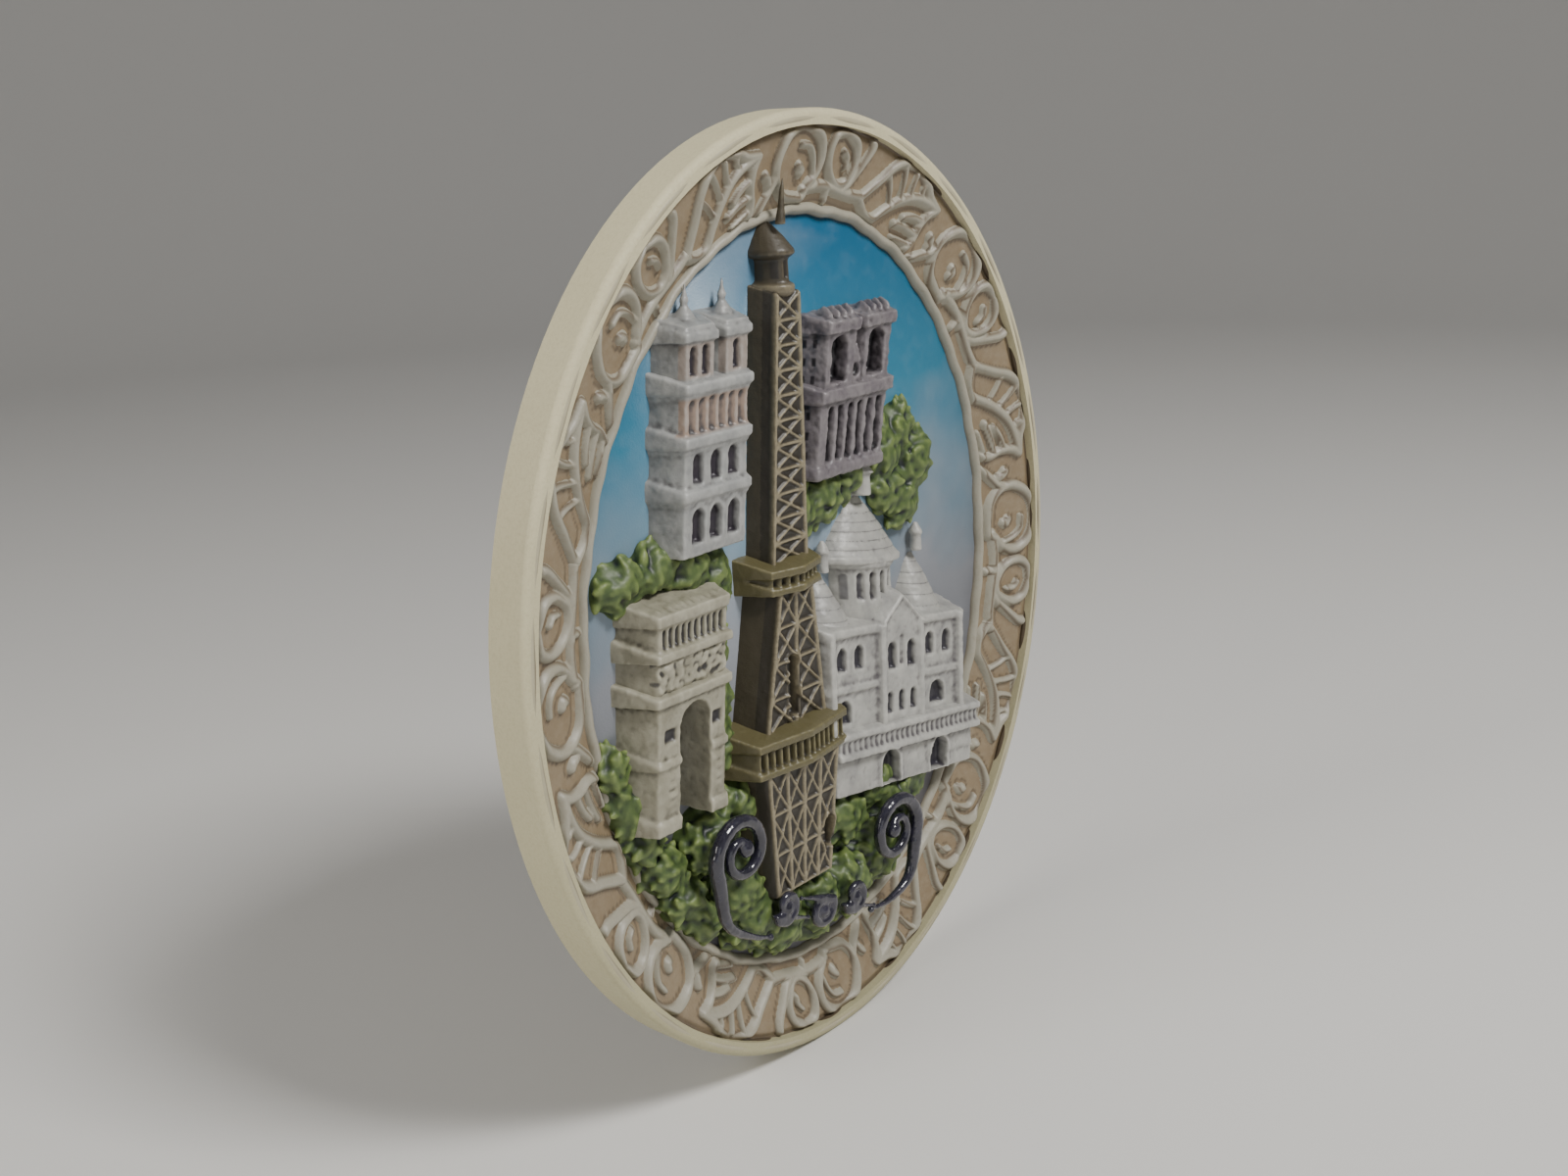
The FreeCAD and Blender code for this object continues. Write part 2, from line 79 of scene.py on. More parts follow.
class Paint:
    """A node material under construction; each method adds one layer and returns its socket."""

    def __init__(self, name):
        self.material = bpy.data.materials.new(name)
        self.material.use_nodes = True
        self.nodes = self.material.node_tree.nodes
        self.links = self.material.node_tree.links
        self.shader = self.nodes["Principled BSDF"]
        self.place = self.nodes.new("ShaderNodeTexCoord").outputs["Object"]

    def noise(self, size_mm, detail=3.0, roughness=0.6):
        """Cloudy variation with lumps about size_mm across."""
        node = self.nodes.new("ShaderNodeTexNoise")
        node.inputs["Scale"].default_value = 1.0 / (size_mm * MM)
        node.inputs["Detail"].default_value = detail
        node.inputs["Roughness"].default_value = roughness
        self.links.new(self.place, node.inputs["Vector"])
        return node.outputs["Fac"]

    def mask(self, name):
        """A mask stored on the mesh, such as how deep a spot lies in a hollow."""
        node = self.nodes.new("ShaderNodeAttribute")
        node.attribute_name = name
        return node.outputs["Fac"]

    def height(self, low_mm, high_mm, axis="Z"):
        """0 at low_mm and 1 at high_mm along one of the plate's axes."""
        split = self.nodes.new("ShaderNodeSeparateXYZ")
        self.links.new(self.place, split.inputs[0])
        return self.steps(split.outputs[axis], low_mm * MM, high_mm * MM)

    def steps(self, value, low, high, out_low=0.0, out_high=1.0):
        node = self.nodes.new("ShaderNodeMapRange")
        node.inputs["From Min"].default_value = low
        node.inputs["From Max"].default_value = high
        node.inputs["To Min"].default_value = out_low
        node.inputs["To Max"].default_value = out_high
        self.links.new(value, node.inputs["Value"])
        return node.outputs["Result"]

    def maths(self, operation, first, second):
        node = self.nodes.new("ShaderNodeMath")
        node.operation = operation
        node.use_clamp = True
        for socket, value in zip(node.inputs, (first, second)):
            if isinstance(value, (int, float)):
                socket.default_value = value
            else:
                self.links.new(value, socket)
        return node.outputs[0]

    def blend(self, factor, under, over):
        """Lays one colour over another; either may be a colour or an earlier layer."""
        node = self.nodes.new("ShaderNodeMix")
        node.data_type = "RGBA"
        for socket, value in ((node.inputs[6], under), (node.inputs[7], over)):
            if isinstance(value, tuple):
                socket.default_value = (*value, 1.0)
            else:
                self.links.new(value, socket)
        self.links.new(factor, node.inputs[0])
        return node.outputs[2]

    def wash(self, under, over, mask, low, high, strength):
        """Lays a colour over another as far as a mask rises from low to high."""
        return self.blend(self.steps(mask, low, high, 0.0, strength), under, over)

    def finish(self, colour, rough, bump=None, depth_mm=0.03, coat=0.0, coat_rough=0.2,
               specular=0.5):
        """Connects the colour; rough is one number or a (low, high, mask) spread."""
        self.links.new(colour, self.shader.inputs["Base Color"])
        if isinstance(rough, tuple):
            self.links.new(self.steps(rough[2], 0.3, 0.7, rough[0], rough[1]),
                           self.shader.inputs["Roughness"])
        else:
            self.shader.inputs["Roughness"].default_value = rough
        if bump is not None:
            node = self.nodes.new("ShaderNodeBump")
            node.inputs["Distance"].default_value = depth_mm * MM
            node.inputs["Strength"].default_value = 1.0
            self.links.new(bump, node.inputs["Height"])
            self.links.new(node.outputs["Normal"], self.shader.inputs["Normal"])
        self.shader.inputs["Coat Weight"].default_value = coat
        self.shader.inputs["Coat Roughness"].default_value = coat_rough
        self.shader.inputs["Specular IOR Level"].default_value = specular
        return self.material


def dress(piece, material):
    """Gives a finished piece its paint and its place on the plate, under the root body."""
    piece.data.materials.clear()
    piece.data.materials.append(material)
    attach(piece, "root")
    return piece


def repaint(node, material):
    """Gives a CAD piece that keeps its own shape a finished material."""
    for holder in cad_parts[node].material_slots:
        holder.material = material


def cream_spray():
    paint = Paint("cream_spray")
    cloud = paint.noise(6.0)
    grain = paint.noise(0.35, 4.0, 0.75)
    colour = paint.blend(cloud, (0.56, 0.51, 0.33), (0.63, 0.58, 0.39))
    colour = paint.wash(colour, (0.38, 0.33, 0.19), grain, 0.45, 0.75, 0.35)
    # Painted shade: the cream darkens to olive towards the bottom of the plate.
    shade = paint.height(-50.0, 20.0)
    colour = paint.blend(paint.steps(shade, 0.0, 1.0, 0.55, 0.0), colour, (0.27, 0.26, 0.14))
    return paint.finish(colour, (0.55, 0.72, grain), grain, 0.05)


repaint("oval_body", cream_spray())

# ---- Rim bead -----------------------------------------------------------------------------------
# The soft raised bead that runs round the front of the lip. Its inner edge wanders a little, and a
# dark brown painted shade lies along that edge where it meets the border.
HALF_WIDTH, HALF_HEIGHT = span("oval_body")[1], span("oval_body")[3]
RIM = span("oval_body")[5]


def new_piece(name, bm):
    """Turns a bmesh built in millimetres as (x, -h, z) into an object in metres."""
    bm.normal_update()
    mesh = bpy.data.meshes.new(name)
    bm.to_mesh(mesh)
    bm.free()
    mesh.transform(Matrix.Scale(MM, 4))
    mesh.shade_smooth()
    piece = bpy.data.objects.new(name, mesh)
    bpy.context.collection.objects.link(piece)
    return piece


def oval_at(angle, inset):
    """(x, z) on the oval that lies inset millimetres inside the plate's outline."""
    return (HALF_WIDTH - inset) * math.cos(angle), (HALF_HEIGHT - inset) * math.sin(angle)


def oval_turned(profile, wander, steps=720):
    """Spins a closed (inset, h) profile round the oval; wander(angle, inset, h) shifts a point."""
    bm = bmesh.new()
    ring = [bm.verts.new((HALF_HEIGHT - inset, -h, 0.0)) for inset, h in profile]
    edges = [bm.edges.new((a, b)) for a, b in zip(ring, ring[1:] + ring[:1])]
    bmesh.ops.spin(bm, geom=ring + edges, cent=(0, 0, 0), axis=(0, 1, 0), dvec=(0, 0, 0),
                   angle=math.tau, steps=steps, use_merge=True)
    bmesh.ops.remove_doubles(bm, verts=bm.verts, dist=1e-4)
    for v in bm.verts:
        angle = math.atan2(v.co.z, v.co.x)
        inset = HALF_HEIGHT - math.hypot(v.co.x, v.co.z)
        inset, h = wander(angle, inset, -v.co.y)
        x, z = oval_at(angle, inset)
        v.co = (x, -h, z)
    bmesh.ops.recalc_face_normals(bm, faces=bm.faces)
    return bm


def arc_profile(inner, outer, foot, top, steps=12):
    """A half-round section between two insets, closed by its flat foot."""
    middle, half = (inner + outer) / 2, (inner - outer) / 2
    return [(middle + half * math.cos(math.pi * k / steps),
             foot + (top - foot) * math.sin(math.pi * k / steps)) for k in range(steps + 1)]


def relax(points, edges, rounds, share=0.5):
    """Moves every vertex part of the way to the middle of its neighbours, several times."""
    count = np.bincount(edges.ravel(), minlength=len(points))[:, None]
    for _ in range(rounds):
        total = np.zeros_like(points)
        for a, b in ((0, 1), (1, 0)):
            for axis in range(3):
                total[:, axis] += np.bincount(edges[:, a], weights=points[edges[:, b], axis],
                                              minlength=len(points))
        points = points + share * (total / np.maximum(count, 1) - points)
    return points


def read_mesh(mesh):
    """Vertex places in millimetres, edges and normals of a mesh as arrays."""
    points = np.empty(len(mesh.vertices) * 3)
    mesh.vertices.foreach_get("co", points)
    edges = np.empty(len(mesh.edges) * 2, np.int64)
    mesh.edges.foreach_get("vertices", edges)
    normals = np.empty(len(mesh.vertices) * 3)
    mesh.vertices.foreach_get("normal", normals)
    return points.reshape(-1, 3) / MM, edges.reshape(-1, 2), normals.reshape(-1, 3)


def store_mask(mesh, name, values):
    layer = mesh.attributes.get(name) or mesh.attributes.new(name, "FLOAT", "POINT")
    layer.data.foreach_set("value", np.ascontiguousarray(values, dtype=np.float32))


def mark_hollows(mesh, reach=14, gain=6.5):
    """Stores 'hollow' and 'crest' (for painted shade and painted highlight): how far a spot lies
    under or over the surface around it.
    """
    points, edges, normals = read_mesh(mesh)
    near = relax(points, edges, reach)
    depth = ((near - points) * normals).sum(1) * gain
    store_mask(mesh, "hollow", np.clip(depth, 0, 1))
    store_mask(mesh, "crest", np.clip(-depth, 0, 1))


def ripple(angle, waves, phase):
    return math.sin(waves * angle + phase)


def rim_wander(angle, inset, h):
    inner = max(0.0, (inset - 0.9) / 0.9)
    shift = 0.10 * ripple(angle, 19, 0.4) + 0.08 * ripple(angle, 43, 1.9)
    lift = 0.05 * ripple(angle, 27, 0.9)
    return inset + shift * inner, h + (lift if h > RIM - 0.5 else 0.0)


def rim_paint():
    paint = Paint("rim_cream")
    cloud = paint.noise(2.5)
    grain = paint.noise(0.3, 4.0, 0.7)
    colour = paint.blend(cloud, (0.36, 0.32, 0.21), (0.50, 0.46, 0.33))
    # Painted shade: dark brown along the bead's inner edge, where it meets the border.
    colour = paint.blend(paint.steps(paint.mask("wash"), 0.1, 0.8), colour, (0.09, 0.066, 0.04))
    return paint.finish(colour, (0.40, 0.55, grain), grain, 0.03, coat=0.15, coat_rough=0.4)


bm = oval_turned(arc_profile(1.6, 0.3, RIM - 1.0, RIM + 0.04), rim_wander)
rim_bead = new_piece("rim_bead", bm)
points, edges, normals = read_mesh(rim_bead.data)
radius = np.hypot(points[:, 0] / HALF_WIDTH, points[:, 2] / HALF_HEIGHT)
inset = (1 - radius) * 46.0
# The mask for the painted shade rises across the bead's inner edge.
store_mask(rim_bead.data, "wash", np.clip((inset - 0.95) / 0.5, 0, 1))
dress(rim_bead, rim_paint())

# ---- Border ground and scrollwork ---------------------------------------------------------------
# The sloping border, cast with one leaf, a fan and two loops that repeat eight times round it. The
# ground is tan and the ridges are dry-brushed a grey cream, both with a dark brown painted shade
# beside the feet of the ridges and in the gutter under the rim bead.
UNITS = 8
UNIT_DEGREES = 360.0 / UNITS
FIRST_UNIT_AT = 74.0               # oval angle where the first unit's leaf begins
OUTER_INSET, INNER_INSET = 1.2, 9.5
ACROSS = 11.0                      # width of the band that the 'across' numbers below divide
SLOPE_TOP, SLOPE_FOOT = 5.0, 2.5
RISE = 0.78
DEGREE_MM = 0.79                   # length of one degree along the middle of the border

# Each ridge is (half width in mm, height share, [(share of a unit along, across), ...]).
RIDGES = [
    (0.62, 1.00, [(0.00, 0.70), (0.04, 0.58), (0.08, 0.45), (0.12, 0.29), (0.17, 0.18),
                  (0.24, 0.13), (0.30, 0.19), (0.34, 0.27), (0.40, 0.31)]),
    (0.62, 1.00, [(0.40, 0.31), (0.32, 0.35), (0.26, 0.42), (0.20, 0.55), (0.15, 0.69),
                  (0.11, 0.80), (0.06, 0.80), (0.00, 0.70)]),
    (0.38, 0.75, [(0.24, 0.16), (0.24, 0.28), (0.25, 0.42)]),
    (0.38, 0.75, [(0.17, 0.20), (0.19, 0.32), (0.21, 0.50)]),
    (0.38, 0.70, [(0.11, 0.36), (0.14, 0.46), (0.17, 0.60)]),
    (0.36, 0.70, [(0.30, 0.21), (0.295, 0.27), (0.31, 0.34)]),
    (0.60, 1.00, [(0.40, 0.31), (0.375, 0.42), (0.365, 0.56), (0.37, 0.70), (0.35, 0.85)]),
    (0.50, 0.85, [(0.36, 0.50), (0.31, 0.54), (0.27, 0.60)]),
    (0.50, 0.85, [(0.365, 0.64), (0.30, 0.66), (0.24, 0.70)]),
    (0.45, 0.80, [(0.36, 0.76), (0.31, 0.79), (0.26, 0.82)]),
    (0.60, 0.95, [(0.40, 0.86), (0.43, 0.77), (0.48, 0.64), (0.50, 0.55)]),
    (0.62, 0.95, [(0.445, 0.52), (0.455, 0.55), (0.46, 0.60)]),
    (0.66, 1.00, [(0.62, 0.78), (0.55, 0.74), (0.51, 0.62), (0.50, 0.47), (0.52, 0.32),
                  (0.56, 0.19), (0.62, 0.13), (0.68, 0.18), (0.72, 0.30), (0.73, 0.46),
                  (0.71, 0.60), (0.68, 0.68), (0.66, 0.78), (0.62, 0.78)]),
    (0.42, 0.80, [(0.70, 0.56), (0.685, 0.42), (0.66, 0.33), (0.62, 0.31)]),
    (0.60, 0.85, [(0.62, 0.50), (0.635, 0.53), (0.63, 0.56)]),
    (0.60, 1.00, [(0.84, 0.17), (0.79, 0.22), (0.77, 0.34), (0.775, 0.47), (0.80, 0.58),
                  (0.845, 0.65), (0.885, 0.62), (0.905, 0.52), (0.915, 0.40), (0.895, 0.26),
                  (0.84, 0.17)]),
    (0.42, 0.85, [(0.845, 0.35), (0.865, 0.40), (0.87, 0.48)]),
    (0.60, 0.95, [(0.975, 0.14), (0.98, 0.26), (0.955, 0.42), (0.92, 0.60), (0.89, 0.68)]),
    (0.64, 0.95, [(0.66, 0.72), (0.74, 0.68), (0.80, 0.68), (0.88, 0.70), (0.95, 0.70),
                  (1.00, 0.68)]),
    (0.55, 0.85, [(0.80, 0.69), (0.805, 0.88)]),
]


def smooth_line(knots, steps=8):
    """Points along a smooth curve through the knots."""
    knots = np.array(knots, float)
    padded = np.vstack([2 * knots[0] - knots[1], knots, 2 * knots[-1] - knots[-2]])
    t = np.linspace(0, 1, steps, endpoint=False)[:, None]
    out = []
    for a, b, c, d in zip(padded, padded[1:], padded[2:], padded[3:]):
        out.append(0.5 * (2 * b + (c - a) * t + (2 * a - 5 * b + 4 * c - d) * t ** 2
                          + (3 * b - a - 3 * c + d) * t ** 3))
    return np.vstack(out + [knots[-1:]])


def distance_to_line(x, y, line):
    """Shortest distance from each point to a polyline."""
    best = np.full(x.shape, 1e9)
    for (ax, ay), (bx, by) in zip(line, line[1:]):
        dx, dy = bx - ax, by - ay
        along = np.clip(((x - ax) * dx + (y - ay) * dy) / max(dx * dx + dy * dy, 1e-9), 0, 1)
        best = np.minimum(best, np.hypot(x - ax - along * dx, y - ay - along * dy))
    return best


def ridge_field(share, across):
    """0 to 1: how high the scrollwork stands at each point of a unit."""
    unit = UNIT_DEGREES * DEGREE_MM
    field = np.zeros(share.shape)
    for half, height, knots in RIDGES:
        line = smooth_line(knots) * (unit, ACROSS)
        for turn in (-1, 0, 1):
            away = distance_to_line(share * unit + turn * unit, across * ACROSS, line)
            crown = np.clip(1.0 - (away / (half * 1.42)) ** 2, 0, 1) ** 1.8
            field = np.maximum(field, height * crown)
    inset = across * ACROSS
    from_rim = np.clip((inset - 1.45) / 0.7, 0, 1)
    from_sky = np.clip((INNER_INSET - 0.1 - inset) / 0.5, 0, 1)
    return field * from_rim * from_sky


def border_height(across):
    """Height of the bare slope, with a shallow gutter under the rim bead."""
    inset = across * ACROSS
    share = np.clip((inset - OUTER_INSET) / (INNER_INSET - OUTER_INSET), 0, 1)
    gutter = 0.30 * np.exp(-((inset - 1.75) / 0.4) ** 2)
    return SLOPE_TOP + (SLOPE_FOOT - SLOPE_TOP) * share - gutter


def uneven(x, z, size, amount):
    """Gentle waviness of the cast surface, the same on every run."""
    return amount * noise.noise(Vector((x / size, 7.3, z / size)))


def border_sheet(first, last, columns, rows, lift, thick, only_ridges=False):
    """A closed slab over units first to last of the border, its front raised by lift."""
    bm = bmesh.new()
    bmesh.ops.create_grid(bm, x_segments=columns, y_segments=rows, size=0.5)
    u = np.array([v.co.x + 0.5 for v in bm.verts])
    w = np.array([v.co.y + 0.5 for v in bm.verts])
    inset = OUTER_INSET + (INNER_INSET - OUTER_INSET) * w
    units = first + (last - first) * u
    field = ridge_field(units % 1.0, inset / ACROSS)
    height = border_height(inset / ACROSS) + lift(field)
    for v, turn, deep, h in zip(bm.verts, units, inset, height):
        x, z = oval_at(math.radians(FIRST_UNIT_AT - turn * UNIT_DEGREES), deep)
        v.co = (x, -h - uneven(x, z, 3.0, 0.06), z)
    if only_ridges:
        bare = [f for f in bm.faces if all(field[v.index] < 0.09 for v in f.verts)]
        bmesh.ops.delete(bm, geom=bare, context="FACES")
    bmesh.ops.remove_doubles(bm, verts=bm.verts, dist=1e-4)
    made = bmesh.ops.extrude_face_region(bm, geom=bm.faces[:])
    back = [e for e in made["geom"] if isinstance(e, bmesh.types.BMVert)]
    bmesh.ops.translate(bm, verts=back, vec=(0, thick, 0))
    bmesh.ops.recalc_face_normals(bm, faces=bm.faces)
    return bm


def ground_lift(field):
    """The ground rises only into the foot of each ridge."""
    return np.minimum(field, 0.16) * RISE


def scroll_lift(field):
    """The ridges stand at full height, and sink under the ground where they end."""
    return field * RISE - np.where(field < 0.14, 0.12, 0.0)


def border_paint():
    paint = Paint("border_tan")
    cloud = paint.noise(3.0)
    streak = paint.noise(0.9, 5.0, 0.7)
    grain = paint.noise(0.25, 3.0, 0.7)
    colour = paint.blend(cloud, (0.190, 0.135, 0.075), (0.280, 0.215, 0.135))
    colour = paint.wash(colour, (0.31, 0.26, 0.185), streak, 0.45, 0.7, 0.5)
    # Painted shade: dark brown beside the feet of the ridges and in the gutter.
    colour = paint.wash(colour, (0.070, 0.048, 0.027), paint.mask("foot"), 0.1, 1.0, 0.8)
    return paint.finish(colour, (0.38, 0.55, streak), grain, 0.03, coat=0.2, coat_rough=0.35)


def scroll_paint():
    paint = Paint("scroll_grey_cream")
    streak = paint.noise(0.8, 5.0, 0.7)
    grain = paint.noise(0.25, 3.0, 0.7)
    cloud = paint.noise(3.5)
    colour = paint.blend(cloud, (0.30, 0.280, 0.215), (0.40, 0.380, 0.310))
    colour = paint.wash(colour, (0.28, 0.22, 0.15), streak, 0.5, 0.75, 0.4)
    # Painted shade: dark brown beside the feet of the ridges.
    colour = paint.wash(colour, (0.120, 0.084, 0.048), paint.mask("foot"), 0.1, 0.95, 0.95)
    return paint.finish(colour, (0.38, 0.55, streak), grain, 0.03, coat=0.15, coat_rough=0.35)


def mark_feet(mesh):
    """Stores 'foot', the mask for painted shade: 1 beside a ridge's foot and in the gutter, 0 on
    its crown and open ground.
    """
    points, _, _ = read_mesh(mesh)
    angle = np.degrees(np.arctan2(points[:, 2] / HALF_HEIGHT, points[:, 0] / HALF_WIDTH))
    units = (FIRST_UNIT_AT - angle) / UNIT_DEGREES
    radial = np.hypot(points[:, 0] / HALF_WIDTH, points[:, 2] / HALF_HEIGHT)
    inset = (1 - radial) * (HALF_WIDTH + HALF_HEIGHT) / 2
    field = ridge_field(units % 1.0, inset / ACROSS)
    foot = np.where(field < 0.1, field / 0.1, np.clip((0.75 - field) / 0.65, 0, 1))
    gutter = np.clip(1 - np.abs(inset - 1.6) / 0.7, 0, 1)
    store_mask(mesh, "foot", np.maximum(foot, gutter))


tan, grey_cream = border_paint(), scroll_paint()
fine = 1.0
ground = new_piece("border_ground", border_sheet(0, UNITS, int(800 * fine), int(48 * fine),
                                                 ground_lift, 0.8))
mark_feet(ground.data)
dress(ground, tan)
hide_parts("border_ring")

for unit in range(UNITS):
    scroll = new_piece(f"scrollwork_{unit + 1}",
                       border_sheet(unit, unit + 1, int(320 * fine), int(64 * fine),
                                    scroll_lift, 0.6, only_ridges=True))
    mark_feet(scroll.data)
    dress(scroll, grey_cream)
    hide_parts(f"border_scroll_{unit + 1}")

# ---- Sky bead -----------------------------------------------------------------------------------
# The narrow bead between the border and the sky, cast with the dish and painted like the ridges.
BEAD_OUTER, BEAD_INNER = 8.9, 10.4
SKY = span("sky_panel")[5]


def bead_wander(angle, inset, h):
    shift = 0.10 * ripple(angle, 23, 0.2) + 0.07 * ripple(angle, 57, 1.1)
    return inset + shift, h + (0.05 * ripple(angle, 31, 0.6) if h > SKY + 0.8 else 0.0)


bead = new_piece("inner_bead", oval_turned(arc_profile(BEAD_INNER, BEAD_OUTER, SKY - 0.3, 3.15),
                                         bead_wander))
points, edges, normals = read_mesh(bead.data)
# Painted shade: the bead darkens towards its foot on the sky, through the 'foot' mask.
store_mask(bead.data, "foot", np.clip((2.75 + points[:, 1]) / 0.7, 0, 1))
dress(bead, grey_cream)
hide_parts("sky_bead")

# ---- Sky ----------------------------------------------------------------------------------------
# The flat oval behind the town, airbrushed blue at the top and fading through a pale haze to
# lavender grey at the foot, with a lighter halo close to the buildings.
SKY_INSET = 10.0
HALO = [span(node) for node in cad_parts
        if node.startswith(("church", "cathedral", "basilica", "arch", "tower_up", "tower_cab"))]


def sky_sheet():
    bm = bmesh.new()
    bmesh.ops.create_circle(bm, cap_ends=True, segments=180, radius=1.0)
    rim = bm.faces[:]
    for k in range(1, 40):
        bmesh.ops.inset_region(bm, faces=rim, thickness=1 / 40.0, use_even_offset=True)
        rim = [f for f in bm.faces if len(f.verts) > 4]
    for v in bm.verts:
        x, z = v.co.x * (HALF_WIDTH - SKY_INSET), v.co.y * (HALF_HEIGHT - SKY_INSET)
        edge = math.hypot(v.co.x, v.co.y)
        lift = 0.5 * max(0.0, (edge - 0.95) / 0.05) ** 2
        v.co = (x, -SKY - lift - uneven(x, z, 6.0, 0.08), z)
    made = bmesh.ops.extrude_face_region(bm, geom=bm.faces[:])
    back = [e for e in made["geom"] if isinstance(e, bmesh.types.BMVert)]
    for v in back:
        v.co.y = -SKY + 0.4
    bmesh.ops.recalc_face_normals(bm, faces=bm.faces)
    return bm


def sky_paint():
    paint = Paint("sky_airbrush")
    drift = paint.noise(9.0, 2.0)
    mist = paint.noise(2.5, 4.0, 0.6)
    grain = paint.noise(0.25, 3.0, 0.7)
    level = paint.maths("ADD", paint.height(-8.0, 30.0), paint.steps(drift, 0.3, 0.7, -0.1, 0.12))
    blue = paint.blend(paint.height(20.0, 38.0), (0.030, 0.205, 0.33), (0.008, 0.115, 0.23))
    pale = paint.blend(paint.height(-30.0, 12.0), (0.22, 0.215, 0.24), (0.34, 0.37, 0.42))
    colour = paint.blend(paint.steps(level, 0.15, 0.8), pale, blue)
    colour = paint.wash(colour, (0.38, 0.43, 0.48), paint.mask("halo"), 0.2, 1.0, 0.6)
    colour = paint.wash(colour, (0.46, 0.50, 0.54), mist, 0.5, 0.8, 0.07)
    return paint.finish(colour, (0.32, 0.45, mist), grain, 0.02, coat=0.25, coat_rough=0.3)


sky = new_piece("sky", sky_sheet())
points, edges, normals = read_mesh(sky.data)
halo = np.zeros(len(points))
for left, right, bottom, top, _, _ in HALO:
    dx = np.maximum(np.maximum(left - points[:, 0], points[:, 0] - right), 0)
    dz = np.maximum(np.maximum(bottom - points[:, 2], points[:, 2] - top), 0)
    halo = np.maximum(halo, np.exp(-np.hypot(dx, dz) / 1.6))
store_mask(sky.data, "halo", halo)
dress(sky, sky_paint())
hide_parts("sky_panel")

# ---- Triumphal arch -----------------------------------------------------------------------------
# Lower left: a squat block with one tall archway, a carved frieze and an attic with a row of small
# windows. Cast in resin, so every edge is soft, and painted a warm cream grey over olive shadows.
DRAFT = 0.42          # how far a wall leans outwards for each mm of depth, so the mould lets go


def add_block(bm, x0, x1, z0, z1, front, top=None):
    """A box with draft; top gives other sides for its upper end, so that it tapers."""
    back = SKY - 0.3
    x2, x3 = top or (x0, x1)
    slope = DRAFT * (front - back)
    for v in bmesh.ops.create_cube(bm, size=1.0)["verts"]:
        up = v.co.z + 0.5
        spread = slope * (v.co.y + 0.5)
        left, right = x0 + (x2 - x0) * up - spread, x1 + (x3 - x1) * up + spread * 0.4
        v.co = (left + (right - left) * (v.co.x + 0.5), -back - (front - back) * (0.5 - v.co.y),
                z0 + (z1 - z0) * up + (spread * 0.7 if up > 0.5 else 0.0))


def add_turned(bm, x, axis_h, rings, front=None, segments=24):
    """Stacked round frustums on an upright axis; rings are (radius, z), foot to top."""
    widest = max(radius for radius, _ in rings)
    squash = (front - axis_h) / widest if front else 1.0
    for (r0, z0), (r1, z1) in zip(rings, rings[1:]):
        made = bmesh.ops.create_cone(bm, cap_ends=True, segments=segments, radius1=max(r0, 0.02),
                                     radius2=max(r1, 0.02), depth=z1 - z0 + 0.02)["verts"]
        bmesh.ops.transform(bm, verts=made, matrix=Matrix.Translation(
            (x, -axis_h, (z0 + z1) / 2)) @ Matrix.Diagonal((1, squash, 1, 1)))


class Relief:
    """The front of a casting as arrays; windows and carving are pressed into it or raised on it."""

    def __init__(self, points):
        self.x, self.h, self.z = points[:, 0], -points[:, 1].copy(), points[:, 2]
        self.stain = np.zeros(len(points))
        self.gild = np.zeros(len(points))

    def press(self, away, level, soft=0.13, stain=1.0):
        """Pushes everything inside a shape back to one level; away is negative inside it."""
        share = np.clip(0.5 - away / (2 * soft), 0, 1)
        self.h -= share * np.maximum(0, self.h - level)
        # Pressed-in places are marked for dark colour: dark paint in openings, painted shade in
        # grooves and carving.
        self.stain = np.maximum(self.stain, share * stain * (self.h > SKY))

    def swell(self, away, amount, above, soft=0.15, gild=0.0):
        """Raises everything inside a shape that stands higher than a level."""
        share = np.clip(0.5 - away / (2 * soft), 0, 1) * (self.h > above)
        self.h += share * amount
        self.gild = np.maximum(self.gild, share * gild)

    def doorway(self, middle, foot, width, height):
        """Distance outside a round-headed opening."""
        half = width / 2
        spring = foot + height - half
        across = np.abs(self.x - middle)
        return np.where(self.z > spring, np.hypot(across, self.z - spring) - half,
                        np.maximum(across - half, foot - self.z))

    def window(self, middle, foot, width, height, level, **paint):
        """Presses in a round-headed opening."""
        self.press(self.doorway(middle, foot, width, height), level, **paint)

    def surround(self, middle, foot, width, height, half, amount, above, **paint):
        """Raises a moulding, twice half wide, along the edge of a round-headed opening."""
        self.swell(np.abs(self.doorway(middle, foot, width, height)) - half, amount, above,
                   **paint)

    def panel(self, x0, x1, z0, z1):
        """Distance outside a rectangle."""
        across = np.maximum(x0 - self.x, self.x - x1)
        return np.maximum(across, np.maximum(z0 - self.z, self.z - z1))

    def stroke(self, points, half):
        """Distance outside a line drawn half wide."""
        return distance_to_line(self.x, self.z, points) - half


def remeshed(mesh, grain):
    """The outside of whatever a mesh holds, as one even skin of small squares."""
    holder = bpy.data.objects.new("skin", mesh)
    bpy.context.collection.objects.link(holder)
    skin = holder.modifiers.new("skin", "REMESH")
    skin.mode = "VOXEL"
    skin.voxel_size = grain
    bpy.context.view_layer.update()
    depsgraph = bpy.context.evaluated_depsgraph_get()
    made = bpy.data.meshes.new_from_object(holder.evaluated_get(depsgraph))
    bpy.data.objects.remove(holder)
    bpy.data.meshes.remove(mesh)
    return made


